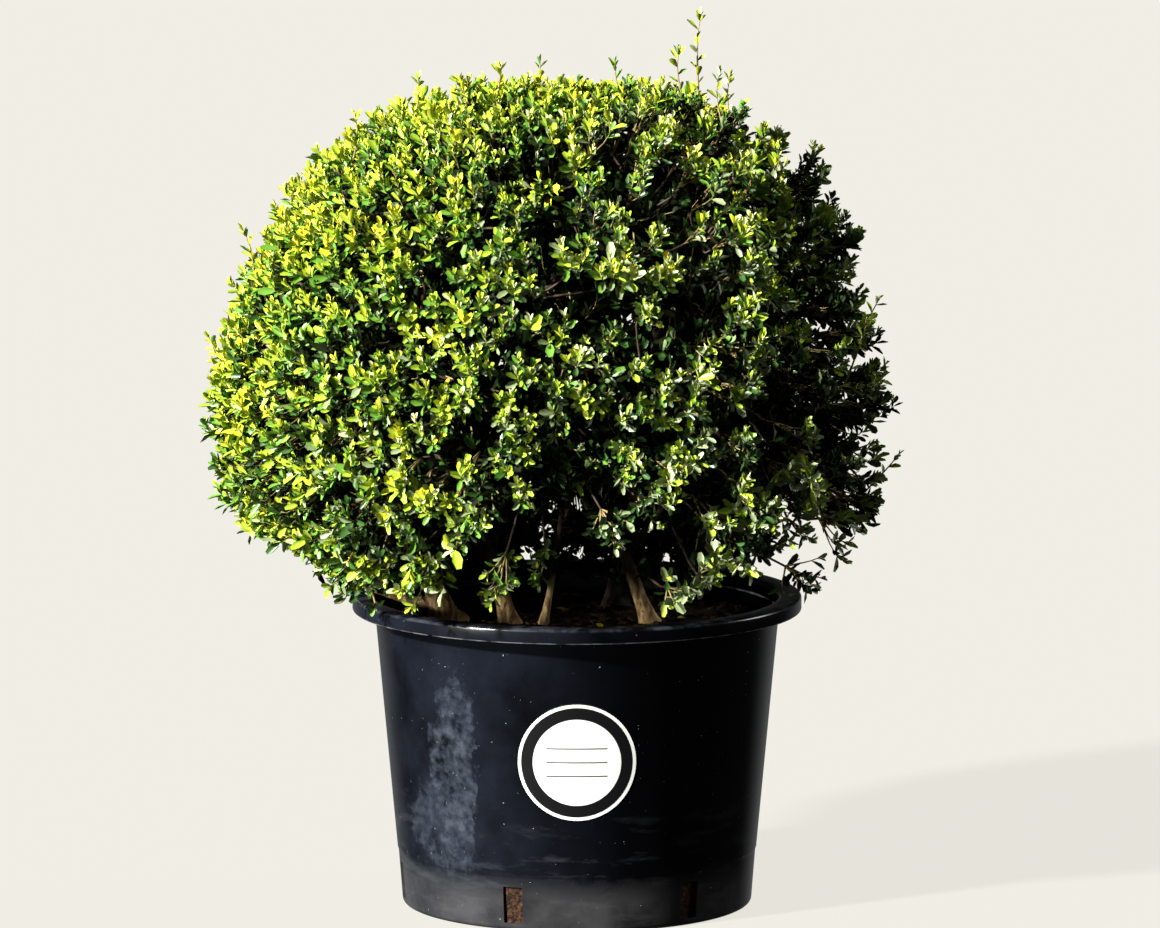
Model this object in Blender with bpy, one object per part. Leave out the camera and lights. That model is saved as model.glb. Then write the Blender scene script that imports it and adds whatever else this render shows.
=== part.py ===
"""A Japanese holly clipped to a ball, standing in its black nursery pot.

Metres, +Z up. The origin is the centre of the pot's flat underside, and -Y is the side with the label.
Several stems stand in the potting mix and fork into boughs. Each bough ends under one mass of foliage.
The masses are cells of a clipped ball, hollow round the boughs, with an arch in front where the stems show.
"""

import math
import random

import bmesh
import bpy
from mathutils import Matrix, Vector

# Clearance between neighbouring pieces
GAP = 0.0003
SHARP_ANGLE = math.radians(35)

# Pot: a turned wall with a slight taper, a turned-down rim and drain slots at its foot
POT_HEIGHT = 0.312
RIM_RADIUS = 0.225
TOP_RADIUS = 0.204
BASE_RADIUS = 0.175
WALL = 0.003
RIM_DROP = 0.015
EDGE_ROUND = 0.002
BASE_ROUND = 0.004
POT_SIDES = 48
SLOT_COUNT = 6
SLOT_WIDTH = 0.020
SLOT_DEPTH = 0.030
SLOT_BOTTOM = 0.0075
SLOT_TOP = 0.0445
FIRST_SLOT = math.radians(-111)

# Potting mix
SOIL_LEVEL = 0.290
SOIL_SINK = 0.007
SOIL_FLAT_RADIUS = 0.165

# Label: a round sticker on the front of the wall
LABEL_RADIUS = 0.059
LABEL_HEIGHT = 0.174
LABEL_THICKNESS = 0.0006
LABEL_SIDES = 30
LABEL_RINGS = 3

# Crown: a clipped ball, flatter on top and cut short below. The powers, at the left and at the right, say
# how full its shoulders are: 2 is a plain ellipse, and more is squarer.
CROWN_CENTRE = Vector((-0.030, 0.0, 0.509))
CROWN_RADIUS = 0.334
CROWN_RISE = 0.337
CROWN_DROP = 0.216
RISE_POWERS = (1.95, 2.40)
DROP_POWERS = (2.65, 3.40)
CORE_DETAIL = 3
CORE_INNER = 0.66
CORE_OUTER = 0.84
CORE_MERGE = 0.03
SEAM = 0.005
LOWEST = math.radians(-36)

# The arch in front, where the stems show under the foliage
ARCH_AZIMUTH = math.radians(-80)
ARCH_HALF_WIDTH = math.radians(30)
ARCH_TOP = math.radians(-9)
ARCH_STARTS_BELOW = math.radians(10)
ARCH_POWER = 4

# Foliage masses by the direction of their middle from the crown's centre: azimuth and elevation in degrees
MASSES = {
    "foliage_right": (342, -4),
    "foliage_back_right": (54, -4),
    "foliage_back_left": (126, -4),
    "foliage_left": (198, -4),
    "foliage_front": (270, -4),
    "foliage_upper_back": (90, 38),
    "foliage_upper_left": (212, 38),
    "foliage_upper_right": (328, 38),
    "foliage_top": (0, 84),
}

# Stems: foot on the potting mix, fork above it, radius over the flare, radius at the fork
STEMS = {
    "stem_left": ((-0.130, -0.020), (-0.156, -0.026, 0.350), 0.0130, 0.0090),
    "stem_middle": ((-0.068, -0.030), (-0.087, -0.034, 0.358), 0.0080, 0.0066),
    "stem_right": ((0.073, -0.030), (0.042, -0.030, 0.372), 0.0070, 0.0060),
    "stem_slender": ((-0.034, -0.042), (-0.010, -0.050, 0.440), 0.0036, 0.0022),
    "stem_back_left": ((-0.080, 0.050), (-0.104, 0.066, 0.392), 0.0105, 0.0080),
    "stem_back_right": ((0.040, 0.055), (0.062, 0.074, 0.400), 0.0105, 0.0080),
}
STEM_SIDES = 8
STEM_RINGS = 6
STEM_BOW = 0.006
STEM_EASE = 1.25
FLARE = 0.75
FLARE_HEIGHT = 0.014
FLARE_LOBES = 4
LOBE_DEPTH = 0.2

# Boughs: stem, mass or the place of a bare tip, how far up the stem they leave it, first direction,
# radius at the stem
BOUGHS = {
    "bough_low_left": ("stem_left", (-0.212, -0.034, 0.325), 0.40, (-1.0, -0.1, 0.0), 0.0060),
    "bough_left": ("stem_left", "foliage_left", 0.90, (-0.5, -0.1, 0.5), 0.0065),
    "bough_upper_left": ("stem_left", "foliage_upper_left", 0.97, (0.1, 0.1, 1.0), 0.0072),
    "bough_front": ("stem_middle", "foliage_front", 0.95, (-0.5, -0.3, 0.9), 0.0056),
    "bough_top": ("stem_middle", "foliage_top", 0.97, (0.1, 0.1, 1.0), 0.0060),
    "bough_right": ("stem_right", "foliage_right", 0.88, (1.0, 0.0, 0.6), 0.0052),
    "bough_upper_right": ("stem_right", "foliage_upper_right", 0.97, (0.4, -0.1, 0.9), 0.0056),
    "bough_back_left": ("stem_back_left", "foliage_back_left", 0.85, (-0.4, 0.7, 0.6), 0.0060),
    "bough_back_right": ("stem_back_right", "foliage_back_right", 0.85, (0.5, 0.6, 0.6), 0.0060),
    "bough_upper_back": ("stem_back_right", "foliage_upper_back", 0.97, (-0.3, 0.1, 1.0), 0.0074),
}
BOUGH_SIDES = 6
BOUGH_RINGS = 8
BOUGH_END = 0.62
BOUGH_TIP_RADIUS = 0.0040
BOUGH_BEND = 0.36

# Twigs and leaves, larger than life so that a few hundred clothe the ball
STEM_LEAD = 0.008
STEM_INTO_CORE = 0.76
SPRAYS_ON_BALL = 164
SPRAY_CLEAR_OF_SEAM = 0.034
TWIG_START = 0.80
TWIG_SIDES = 3
TWIG_ROOT_RADIUS = 0.0028
TWIG_TIP_RADIUS = 0.0012
TWIG_REACH = (0.955, 1.0)
LEAF_LENGTH = 0.042
LEAF_WIDTH = 0.023
LEAF_THICKNESS = 0.0014
LEAF_WIDEST = 0.48
LEAF_ROOT = 0.0025
LEAF_SPREAD = math.radians(54)
TIP_LEAF_SPREAD = math.radians(11)
LEAF_PAST_TIP = 0.88
LEAF_TURN = math.radians(137.5)
LEAF_STEPS = (0.0, 0.006, 0.012)
CLEAR_OF_SEAM = 0.0012
CLEAR_OF_LIMB = 0.0030
CLEAR_OF_POT = 0.0030
LEAVES_APART = 0.017
REACH_LIMIT = 1.045
SEED = 26

# Shoots that stand out of the ball, by the place of their tip
LONG_SHOOTS = (
    (0.124, -0.020, 0.904),
    (0.148, -0.060, 0.836),
    (0.303, -0.090, 0.628),
    (0.326, -0.020, 0.461),
    (-0.372, -0.020, 0.580),
    (-0.366, 0.040, 0.420),
    (-0.060, -0.030, 0.852),
    (0.030, 0.040, 0.850),
    (-0.226, -0.060, 0.792),
)
SHOOT_START = 0.80
SHOOT_REACH = 1.5
SHOOT_RINGS = 5
SHOOT_WHORL = (0.0, 0.003)
SHOOT_RADIUS = 0.0024
SHOOT_TIP_RADIUS = 0.0010
SHOOT_LEAF_STEP = 0.018
SHOOT_LEAF_LENGTH = 0.028


def material(name, colour, roughness):
    made = bpy.data.materials.new(name)
    made.use_nodes = True
    shader = made.node_tree.nodes["Principled BSDF"]
    shader.inputs["Base Color"].default_value = (*colour, 1.0)
    shader.inputs["Roughness"].default_value = roughness
    shader.inputs["Metallic"].default_value = 0.0
    return made


def add_object(name, bm, finish=None, smooth=False, home=None):
    """Puts a bmesh into the scene, or into the collection named home, as one object."""
    mesh = bpy.data.meshes.new(name)
    bm.to_mesh(mesh)
    bm.free()
    if smooth:
        mesh.shade_smooth()
        mesh.set_sharp_from_angle(angle=SHARP_ANGLE)
    if finish:
        mesh.materials.append(finish)
    made = bpy.data.objects.new(name, mesh)
    (home or bpy.context.scene.collection).objects.link(made)
    return made


def remove_object(thing):
    mesh = thing.data
    bpy.data.objects.remove(thing)
    bpy.data.meshes.remove(mesh)


def turned(profile, sides):
    """A closed solid of revolution, from pairs of radius and height that start and end on the axis."""
    bm = bmesh.new()
    points = [bm.verts.new((radius, 0.0, height)) for radius, height in profile]
    edges = [bm.edges.new(pair) for pair in zip(points, points[1:])]
    bmesh.ops.spin(
        bm, geom=points + edges, cent=(0, 0, 0), axis=(0, 0, 1),
        angle=math.tau, steps=sides, use_merge=True,
    )
    bmesh.ops.remove_doubles(bm, verts=bm.verts, dist=0.00001)
    bmesh.ops.recalc_face_normals(bm, faces=bm.faces)
    return bm


def wall_radius(height):
    """The outside radius of the pot's wall."""
    return BASE_RADIUS + (TOP_RADIUS - BASE_RADIUS) * height / POT_HEIGHT


def make_pot(finish):
    under_rim = POT_HEIGHT - WALL
    skirt = RIM_RADIUS - WALL
    inside_top = wall_radius(under_rim) - WALL
    profile = [
        (0.0, 0.0),
        (BASE_RADIUS - BASE_ROUND, 0.0),
        (BASE_RADIUS - BASE_ROUND * 0.3, BASE_ROUND * 0.3),
        (wall_radius(BASE_ROUND), BASE_ROUND),
        (wall_radius(under_rim), under_rim),
        (skirt, under_rim),
        (skirt, POT_HEIGHT - RIM_DROP),
        (RIM_RADIUS, POT_HEIGHT - RIM_DROP),
        (RIM_RADIUS, POT_HEIGHT - EDGE_ROUND),
        (RIM_RADIUS - EDGE_ROUND, POT_HEIGHT),
        (inside_top + EDGE_ROUND, POT_HEIGHT),
        (inside_top, POT_HEIGHT - EDGE_ROUND),
        (wall_radius(WALL) - WALL, WALL),
        (0.0, WALL),
    ]
    pot = add_object("pot", turned(profile, POT_SIDES), finish, smooth=True)
    cut = pot.modifiers.new("drain_slots", "BOOLEAN")
    cut.operation = "DIFFERENCE"
    cut.solver = "EXACT"
    cut.object = make_slot_cutter()


def make_slot_cutter():
    """One box for each drain slot, through the foot of the wall."""
    bm = bmesh.new()
    for index in range(SLOT_COUNT):
        turn = Matrix.Rotation(FIRST_SLOT + math.tau * index / SLOT_COUNT, 4, "Z")
        out = Matrix.Translation((BASE_RADIUS, 0.0, (SLOT_TOP + SLOT_BOTTOM) / 2))
        size = Matrix.Diagonal((SLOT_DEPTH, SLOT_WIDTH, SLOT_TOP - SLOT_BOTTOM, 1.0))
        bmesh.ops.create_cube(bm, size=1.0, matrix=turn @ out @ size)
    cutter = add_object("slot_cutter", bm)
    cutter.hide_render = True
    cutter.display_type = "WIRE"
    return cutter


def make_potting_mix(finish):
    edge = SOIL_LEVEL - SOIL_SINK
    floor = WALL + GAP
    profile = [
        (0.0, floor),
        (wall_radius(floor) - WALL - GAP, floor),
        (wall_radius(edge) - WALL - GAP, edge),
        (SOIL_FLAT_RADIUS, SOIL_LEVEL),
        (0.0, SOIL_LEVEL),
    ]
    add_object("potting_mix", turned(profile, POT_SIDES), finish, smooth=True)


def make_label(finish):
    """A thin disc, bent round the wall in front."""
    rings = [LABEL_RADIUS * ring / LABEL_RINGS for ring in range(LABEL_RINGS + 1)]
    back = [(radius, 0.0) for radius in rings]
    front = [(radius, LABEL_THICKNESS) for radius in reversed(rings)]
    bm = turned(back + front, LABEL_SIDES)
    for vert in bm.verts:
        across, up, out = vert.co
        height = LABEL_HEIGHT + up
        angle = across / wall_radius(height) - math.pi / 2
        radius = wall_radius(height) + GAP + out
        vert.co = (radius * math.cos(angle), radius * math.sin(angle), height)
    add_object("label", bm, finish, smooth=True)


def smooth_curve(start, lead, arrive, end, steps):
    """Points along a curve that leaves start towards lead and reaches end along arrive."""
    pull = (end - start).length * BOUGH_BEND
    handles = (start, start + lead.normalized() * pull, end - arrive.normalized() * pull, end)
    points = []
    for index in range(steps):
        t = index / (steps - 1)
        weights = ((1 - t) ** 3, 3 * t * (1 - t) ** 2, 3 * t * t * (1 - t), t ** 3)
        points.append(sum((handle * weight for handle, weight in zip(handles, weights)), Vector()))
    return points


def limb(path, radii, sides, level_foot=False):
    """A closed tapering tube along a path. A level foot gives it a flat cut and a flare with lobes."""
    bm = bmesh.new()
    loops = []
    side = Vector((0.0, 1.0, 0.0))
    for index, (point, radius) in enumerate(zip(path, radii)):
        before = path[max(index - 1, 0)]
        after = path[min(index + 1, len(path) - 1)]
        along = (after - before).normalized()
        if level_foot and index == 0:
            along = Vector((0.0, 0.0, 1.0))
        side = (side - along * side.dot(along)).normalized()
        across = along.cross(side)
        loop = []
        for corner in range(sides):
            angle = math.tau * corner / sides
            grown = radius
            if level_foot:
                above = point.z - path[0].z
                lobes = 1 - LOBE_DEPTH * (1 - math.cos(FLARE_LOBES * angle))
                grown += radius * FLARE * lobes * math.exp(-above / FLARE_HEIGHT)
            loop.append(bm.verts.new(point + (side * math.cos(angle) + across * math.sin(angle)) * grown))
        loops.append(loop)
    for low, high in zip(loops, loops[1:]):
        for corner in range(sides):
            nearby = (corner + 1) % sides
            bm.faces.new((low[corner], low[nearby], high[nearby], high[corner]))
    bm.faces.new(reversed(loops[0]))
    bm.faces.new(loops[-1])
    return bm


def tapered(first, last, count):
    return [first + (last - first) * index / (count - 1) for index in range(count)]


def widened(radii):
    return [radius + GAP for radius in radii]


def islands(bm):
    """The separate shells of a mesh, as lists of faces."""
    bm.faces.ensure_lookup_table()
    waiting = set(bm.faces)
    found = []
    while waiting:
        shell = []
        edge_of_search = [waiting.pop()]
        while edge_of_search:
            face = edge_of_search.pop()
            shell.append(face)
            for edge in face.edges:
                for neighbour in edge.link_faces:
                    if neighbour in waiting:
                        waiting.discard(neighbour)
                        edge_of_search.append(neighbour)
        found.append(shell)
    return found


def keep_largest(bm):
    """Drops loose scraps and sealed hollows, so that one closed body is left."""
    shells = sorted(islands(bm), key=lambda shell: sum(face.calc_area() for face in shell))
    scraps = [face for shell in shells[:-1] for face in shell]
    bmesh.ops.delete(bm, geom=scraps, context="FACES")


def apply_boolean(thing, operation, operand):
    """Joins or cuts thing with another object or with every object of a collection, then tidies the mesh."""
    step = thing.modifiers.new("join", "BOOLEAN")
    step.operation = operation
    step.solver = "EXACT"
    if isinstance(operand, bpy.types.Collection):
        step.operand_type = "COLLECTION"
        step.collection = operand
    else:
        step.object = operand
    result = thing.evaluated_get(bpy.context.evaluated_depsgraph_get())
    bm = bmesh.new()
    bm.from_mesh(result.data)
    thing.modifiers.remove(step)
    keep_largest(bm)
    bmesh.ops.triangulate(bm, faces=bm.faces)
    bm.to_mesh(thing.data)
    bm.free()


def stem_path(name):
    foot, fork, foot_radius, fork_radius = STEMS[name]
    start = Vector((*foot, SOIL_LEVEL + GAP))
    end = Vector(fork)
    bow = Vector((0.0, 0.0, 1.0)).cross(end - start).normalized() * STEM_BOW
    points = []
    for index in range(STEM_RINGS):
        t = index / (STEM_RINGS - 1)
        points.append(start.lerp(end, t ** STEM_EASE) + bow * math.sin(math.pi * t))
    return points, tapered(foot_radius, fork_radius, STEM_RINGS)


def bough_path(name):
    """The points down a bough and its radius at each."""
    stem, target, share, lead, radius = BOUGHS[name]
    path, _ = stem_path(stem)
    place = share * (len(path) - 1)
    low = int(place)
    start = path[low].lerp(path[min(low + 1, len(path) - 1)], place - low)
    if target in MASSES:
        out = mass_direction(target)
        end = on_crown(out, BOUGH_END)
    else:
        end = Vector(target)
        out = end - start
    points = smooth_curve(start, Vector(lead), out, end, BOUGH_RINGS)
    return points, tapered(radius, BOUGH_TIP_RADIUS, BOUGH_RINGS)


def make_stems(finish):
    for name in STEMS:
        path, radii = stem_path(name)
        add_object(name, limb(path, radii, STEM_SIDES, level_foot=True), finish, smooth=True)


def make_boughs(finish):
    """Each bough starts inside its stem and is cut back clear of it, and of the boughs beside it."""
    earlier = []
    for name, (stem, _, _, _, _) in BOUGHS.items():
        path, radii = bough_path(name)
        bough = add_object(name, limb(path, radii, BOUGH_SIDES), finish, smooth=True)
        stem_points, stem_radii = stem_path(stem)
        cutters = [limb(stem_points, widened(stem_radii), STEM_SIDES, level_foot=True)]
        for other in earlier:
            if BOUGHS[other][0] == stem:
                other_path, other_radii = bough_path(other)
                cutters.append(limb(other_path, widened(other_radii), BOUGH_SIDES))
        for shape in cutters:
            cutter = add_object("cutter", shape)
            apply_boolean(bough, "DIFFERENCE", cutter)
            remove_object(cutter)
        earlier.append(name)


def direction(azimuth, elevation):
    level = math.cos(elevation)
    return Vector((level * math.cos(azimuth), level * math.sin(azimuth), math.sin(elevation)))


def angles(way):
    return math.atan2(way.y, way.x), math.asin(max(-1.0, min(1.0, way.z / way.length)))


def arch_limit(azimuth):
    """How low the foliage reaches at an azimuth, as an elevation from the crown's centre."""
    turn = (azimuth - ARCH_AZIMUTH + math.pi) % math.tau - math.pi
    rise = math.exp(-((turn / ARCH_HALF_WIDTH) ** ARCH_POWER))
    return LOWEST + (ARCH_TOP - LOWEST) * rise


def lift_over_arch(way):
    """Squeezes the lowest directions upwards, so that the foliage's lower edge follows the arch."""
    azimuth, elevation = angles(way)
    if elevation >= ARCH_STARTS_BELOW:
        return way
    squeeze = (ARCH_STARTS_BELOW - arch_limit(azimuth)) / (ARCH_STARTS_BELOW - LOWEST)
    return direction(azimuth, ARCH_STARTS_BELOW - (ARCH_STARTS_BELOW - elevation) * squeeze)


def crown_reach(way):
    """The clipped surface's distance from the crown's centre in a direction of length one."""
    level = math.hypot(way.x, way.y)
    rightness = 0.5 + 0.5 * way.x / max(level, 1e-9)
    left, right = RISE_POWERS if way.z > 0 else DROP_POWERS
    power = left + (right - left) * rightness
    height = CROWN_RISE if way.z > 0 else CROWN_DROP
    return ((level / CROWN_RADIUS) ** power + (abs(way.z) / height) ** power) ** (-1 / power)


def on_crown(way, share):
    return CROWN_CENTRE + way * crown_reach(way) * share


def mass_direction(name):
    azimuth, elevation = MASSES[name]
    return lift_over_arch(direction(math.radians(azimuth), math.radians(elevation)))


def seams(name):
    """The directions, towards a mass, of the planes through the crown's centre that part it from the others."""
    own = direction(*map(math.radians, MASSES[name]))
    others = [direction(*map(math.radians, MASSES[other])) for other in MASSES if other != name]
    return [(own - other).normalized() for other in others]


def room_in_cell(point, planes):
    """How far a point is inside a mass's cell."""
    return min((point - CROWN_CENTRE).dot(plane) for plane in planes)


def core(name):
    """A thick shell: the mass's cell of a ball, cut by its seams and by the ball's open bottom."""
    bm = bmesh.new()
    bmesh.ops.create_icosphere(bm, subdivisions=CORE_DETAIL, radius=1.0)
    cuts = [(plane * SEAM, plane) for plane in seams(name)]
    cuts.append((Vector((0.0, 0.0, math.sin(LOWEST))), Vector((0.0, 0.0, 1.0))))
    for place, plane in cuts:
        everything = bm.verts[:] + bm.edges[:] + bm.faces[:]
        bmesh.ops.bisect_plane(bm, geom=everything, plane_co=place, plane_no=plane, clear_inner=True)
    bmesh.ops.remove_doubles(bm, verts=bm.verts, dist=CORE_MERGE)
    bmesh.ops.triangulate(bm, faces=bm.faces)
    grown = bmesh.ops.extrude_face_region(bm, geom=bm.faces[:], use_keep_orig=True)
    inner = {item for item in grown["geom"] if isinstance(item, bmesh.types.BMVert)}
    for vert in bm.verts:
        way = lift_over_arch(vert.co.normalized())
        vert.co = on_crown(way, CORE_INNER if vert in inner else CORE_OUTER)
    bmesh.ops.recalc_face_normals(bm, faces=bm.faces)
    return bm


def twig(start, end):
    bm = bmesh.new()
    along = end - start
    place = Matrix.Translation((start + end) / 2) @ along.to_track_quat("Z", "Y").to_matrix().to_4x4()
    bmesh.ops.create_cone(
        bm, cap_ends=True, segments=TWIG_SIDES, radius1=TWIG_ROOT_RADIUS, radius2=TWIG_TIP_RADIUS,
        depth=along.length, matrix=place,
    )
    return bm


def leaf_corners(root, along, flat, length):
    """Root, tip, both edges and both faces of a leaf that points along, with flat square to its blade."""
    across = along.cross(flat).normalized()
    half_width = LEAF_WIDTH / LEAF_LENGTH * length / 2
    middle = root + along * length * LEAF_WIDEST
    return [
        root, root + along * length,
        middle + across * half_width, middle - across * half_width,
        middle + flat * LEAF_THICKNESS / 2, middle - flat * LEAF_THICKNESS / 2,
    ]


def leaf(corners):
    bm = bmesh.new()
    for corner in corners:
        bm.verts.new(corner)
    bmesh.ops.convex_hull(bm, input=bm.verts)
    return bm


def limb_spots():
    """Points down every limb with the radius there, to keep leaves clear of them."""
    spots = []
    for path, radii in [stem_path(name) for name in STEMS] + [bough_path(name) for name in BOUGHS]:
        for point, after, radius in zip(path, path[1:], radii):
            spots += [(point.lerp(after, share), radius) for share in (0.0, 0.25, 0.5, 0.75)]
    return spots


def leaf_fits(corners, planes, spots, reach):
    """Whether a leaf keeps to its mass's cell and stays clear of the limbs and the pot."""
    for corner in corners:
        if room_in_cell(corner, planes) < CLEAR_OF_SEAM:
            return False
        offset = corner - CROWN_CENTRE
        if offset.length > crown_reach(offset.normalized()) * reach:
            return False
        if any((corner - spot).length < radius + CLEAR_OF_LIMB for spot, radius in spots):
            return False
        near_rim = math.hypot(corner.x, corner.y) < RIM_RADIUS + CLEAR_OF_POT
        if near_rim and corner.z < POT_HEIGHT + CLEAR_OF_POT:
            return False
    return True


def spray(tip, along, steps, length, rng, fits, taken):
    """The leaves of one twig: one that carries on past its tip, then side leaves in turn round it."""
    side = along.orthogonal().normalized()
    turn = rng.uniform(0, math.tau)
    leaves = []
    for index, back in enumerate(steps):
        out = Matrix.Rotation(turn + index * LEAF_TURN, 3, along) @ side
        spread = LEAF_SPREAD * rng.uniform(0.8, 1.2) if index else TIP_LEAF_SPREAD
        way = along * math.cos(spread) + out * math.sin(spread)
        flat = way.cross(along.cross(out)).normalized()
        root = tip - along * back - way * LEAF_ROOT
        corners = leaf_corners(root, way, flat, length * rng.uniform(0.88, 1.08))
        middle = corners[0].lerp(corners[1], 0.5)
        if fits(corners) and all((middle - other).length > LEAVES_APART for other in taken):
            taken.append(middle)
            leaves.append(leaf(corners))
    return leaves


def ball_directions():
    """Directions spread evenly over the ball, along a spiral."""
    ways = []
    for index in range(SPRAYS_ON_BALL):
        height = 1 - 2 * (index + 0.5) / SPRAYS_ON_BALL
        ways.append(direction(index * LEAF_TURN, math.asin(height)))
    return ways


def long_shoot(tip, rng, fits, taken):
    """A thin shoot that bends upwards out of the mass, with small leaves in turn all the way to its tip."""
    way = (tip - CROWN_CENTRE).normalized()
    rise = (way + Vector((0.0, 0.0, 1.0))).normalized()
    tip = tip - rise * SHOOT_LEAF_LENGTH * LEAF_PAST_TIP
    start = on_crown(way, SHOOT_START)
    path = smooth_curve(start, way, rise, tip, SHOOT_RINGS)
    shapes = [limb(path, tapered(SHOOT_RADIUS, SHOOT_TIP_RADIUS, SHOOT_RINGS), TWIG_SIDES)]
    last = SHOOT_RINGS - 1
    stretch = (tip - start).length
    whorls = int((tip - on_crown(way, CORE_OUTER)).length / SHOOT_LEAF_STEP)
    for index in range(whorls + 1):
        place = (1 - index * SHOOT_LEAF_STEP / stretch) * last
        low = min(int(place), last - 1)
        spot = path[low].lerp(path[low + 1], place - low)
        along = (path[low + 1] - path[low]).normalized()
        shapes += spray(spot, along, SHOOT_WHORL, SHOOT_LEAF_LENGTH, rng, fits, taken)
    return shapes


def stem_of_mass(name):
    """Carries on from the tip of the mass's bough, face to face with it, into the core."""
    bough = next(bough for bough, facts in BOUGHS.items() if facts[1] == name)
    path, _ = bough_path(bough)
    along = (path[-1] - path[-2]).normalized()
    inside = on_crown(mass_direction(name), STEM_INTO_CORE)
    return [path[-1] + along * GAP, path[-1] + along * STEM_LEAD, inside]


def make_mass(name, finish, spots, rng):
    """A core on its stem, with twigs and leaves fused on."""
    planes = seams(name)
    mass = add_object(name, core(name), finish)
    stem = stem_of_mass(name)
    shapes = [limb(stem, tapered(BOUGH_TIP_RADIUS, TWIG_ROOT_RADIUS, len(stem)), BOUGH_SIDES)]
    taken = []
    for tip in LONG_SHOOTS:
        tip = Vector(tip)
        if room_in_cell(tip, planes) > 0:
            shapes += long_shoot(
                tip, rng, lambda corners: leaf_fits(corners, planes, spots, SHOOT_REACH), taken,
            )
    for way in ball_directions():
        if way.z < math.sin(LOWEST) or room_in_cell(CROWN_CENTRE + way, planes) < SPRAY_CLEAR_OF_SEAM:
            continue
        way = lift_over_arch(way)
        tip = on_crown(way, rng.uniform(*TWIG_REACH)) - way * LEAF_LENGTH * LEAF_PAST_TIP
        leaves = spray(
            tip, way, LEAF_STEPS, LEAF_LENGTH, rng,
            lambda corners: leaf_fits(corners, planes, spots, REACH_LIMIT), taken,
        )
        if leaves:
            shapes += [twig(on_crown(way, TWIG_START), tip)] + leaves
    home = bpy.data.collections.new(name + "_parts")
    bpy.context.scene.collection.children.link(home)
    for index, shape in enumerate(shapes):
        add_object(f"{name}_{index}", shape, home=home)
    apply_boolean(mass, "UNION", home)
    for thing in list(home.objects):
        remove_object(thing)
    bpy.data.collections.remove(home)


def main():
    for thing in list(bpy.data.objects):
        bpy.data.objects.remove(thing)
    make_pot(material("black_plastic", (0.012, 0.013, 0.018), 0.3))
    make_potting_mix(material("potting_mix", (0.09, 0.045, 0.022), 0.95))
    make_label(material("label_paper", (0.85, 0.86, 0.84), 0.4))
    bark = material("bark", (0.23, 0.15, 0.09), 0.85)
    make_stems(bark)
    make_boughs(bark)
    green = material("holly_leaf", (0.10, 0.22, 0.02), 0.45)
    spots = limb_spots()
    rng = random.Random(SEED)
    for name in MASSES:
        make_mass(name, green, spots, rng)


main()
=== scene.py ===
# %% [markdown]
# # A Japanese holly clipped to a ball, in its black nursery pot
#
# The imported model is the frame: it says where the pot, the stems and the crown are. This lesson dresses that
# frame. It turns a finer pot, gives the stems their bark, and grows the crown from boughs to twigs to leaves
# by the rule that the frame's own source uses, carried on to twigs that are too fine for a solid.
# Everything is in metres, +Z is up, and -Y is the side with the label.

# %% Load the frame
import math

import bmesh
import bpy
import numpy as np
from mathutils import Matrix, Vector, noise


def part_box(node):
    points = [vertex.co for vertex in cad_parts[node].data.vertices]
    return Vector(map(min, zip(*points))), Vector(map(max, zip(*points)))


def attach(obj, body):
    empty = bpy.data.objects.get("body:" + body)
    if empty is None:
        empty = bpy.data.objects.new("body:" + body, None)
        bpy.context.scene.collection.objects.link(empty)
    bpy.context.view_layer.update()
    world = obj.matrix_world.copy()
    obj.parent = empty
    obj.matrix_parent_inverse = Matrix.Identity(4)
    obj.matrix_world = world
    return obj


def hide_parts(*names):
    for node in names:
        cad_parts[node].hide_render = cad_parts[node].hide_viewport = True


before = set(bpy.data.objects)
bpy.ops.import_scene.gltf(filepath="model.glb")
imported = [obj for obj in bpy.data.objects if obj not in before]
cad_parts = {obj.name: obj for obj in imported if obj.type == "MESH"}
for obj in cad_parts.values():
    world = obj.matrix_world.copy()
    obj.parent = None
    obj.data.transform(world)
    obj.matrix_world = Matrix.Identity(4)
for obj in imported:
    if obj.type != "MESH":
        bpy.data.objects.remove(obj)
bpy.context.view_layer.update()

# %% [markdown]
# ## Three small helpers
#
# Each piece that is made here rides the plant's one body and may stand for CAD nodes, which are then not
# shown. A second helper turns a bmesh into an object, and a third adds one shader node in one line, so that
# the materials below read as recipes.

# %% Helpers for pieces and for materials
def dress(piece, slot, *nodes):
    """Puts a finished piece on the plant's body, in place of the CAD nodes that it stands for."""
    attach(piece, "root")
    if nodes:
        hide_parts(*nodes)
    return piece


def object_of(name, mesh, finish):
    mesh.materials.append(finish)
    made = bpy.data.objects.new(name, mesh)
    bpy.context.scene.collection.objects.link(made)
    return made


def object_from(name, bm, finish, sharp=math.radians(40)):
    """Turns a bmesh into an object with smooth faces and crisp edges."""
    mesh = bpy.data.meshes.new(name)
    bm.to_mesh(mesh)
    bm.free()
    mesh.shade_smooth()
    mesh.set_sharp_from_angle(angle=sharp)
    return object_of(name, mesh, finish)


def node(tree, kind, settings=None, feeds=None, **fields):
    """Adds a shader node: fields are its own choices, settings its socket values, feeds what is linked in."""
    made = tree.nodes.new(kind)
    for field, value in fields.items():
        setattr(made, field, value)
    for socket, value in (settings or {}).items():
        made.inputs[socket].default_value = value
    for socket, source in (feeds or {}).items():
        tree.links.new(source, made.inputs[socket])
    return made


def blank_material(name, roughness, specular=0.5):
    made = bpy.data.materials.new(name)
    made.use_nodes = True
    shader = made.node_tree.nodes["Principled BSDF"]
    shader.inputs["Roughness"].default_value = roughness
    shader.inputs["Specular IOR Level"].default_value = specular
    return made, made.node_tree, shader


def plain(name, colour, roughness, specular=0.5):
    made, _, shader = blank_material(name, roughness, specular)
    shader.inputs["Base Color"].default_value = (*colour, 1.0)
    return made


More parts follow.
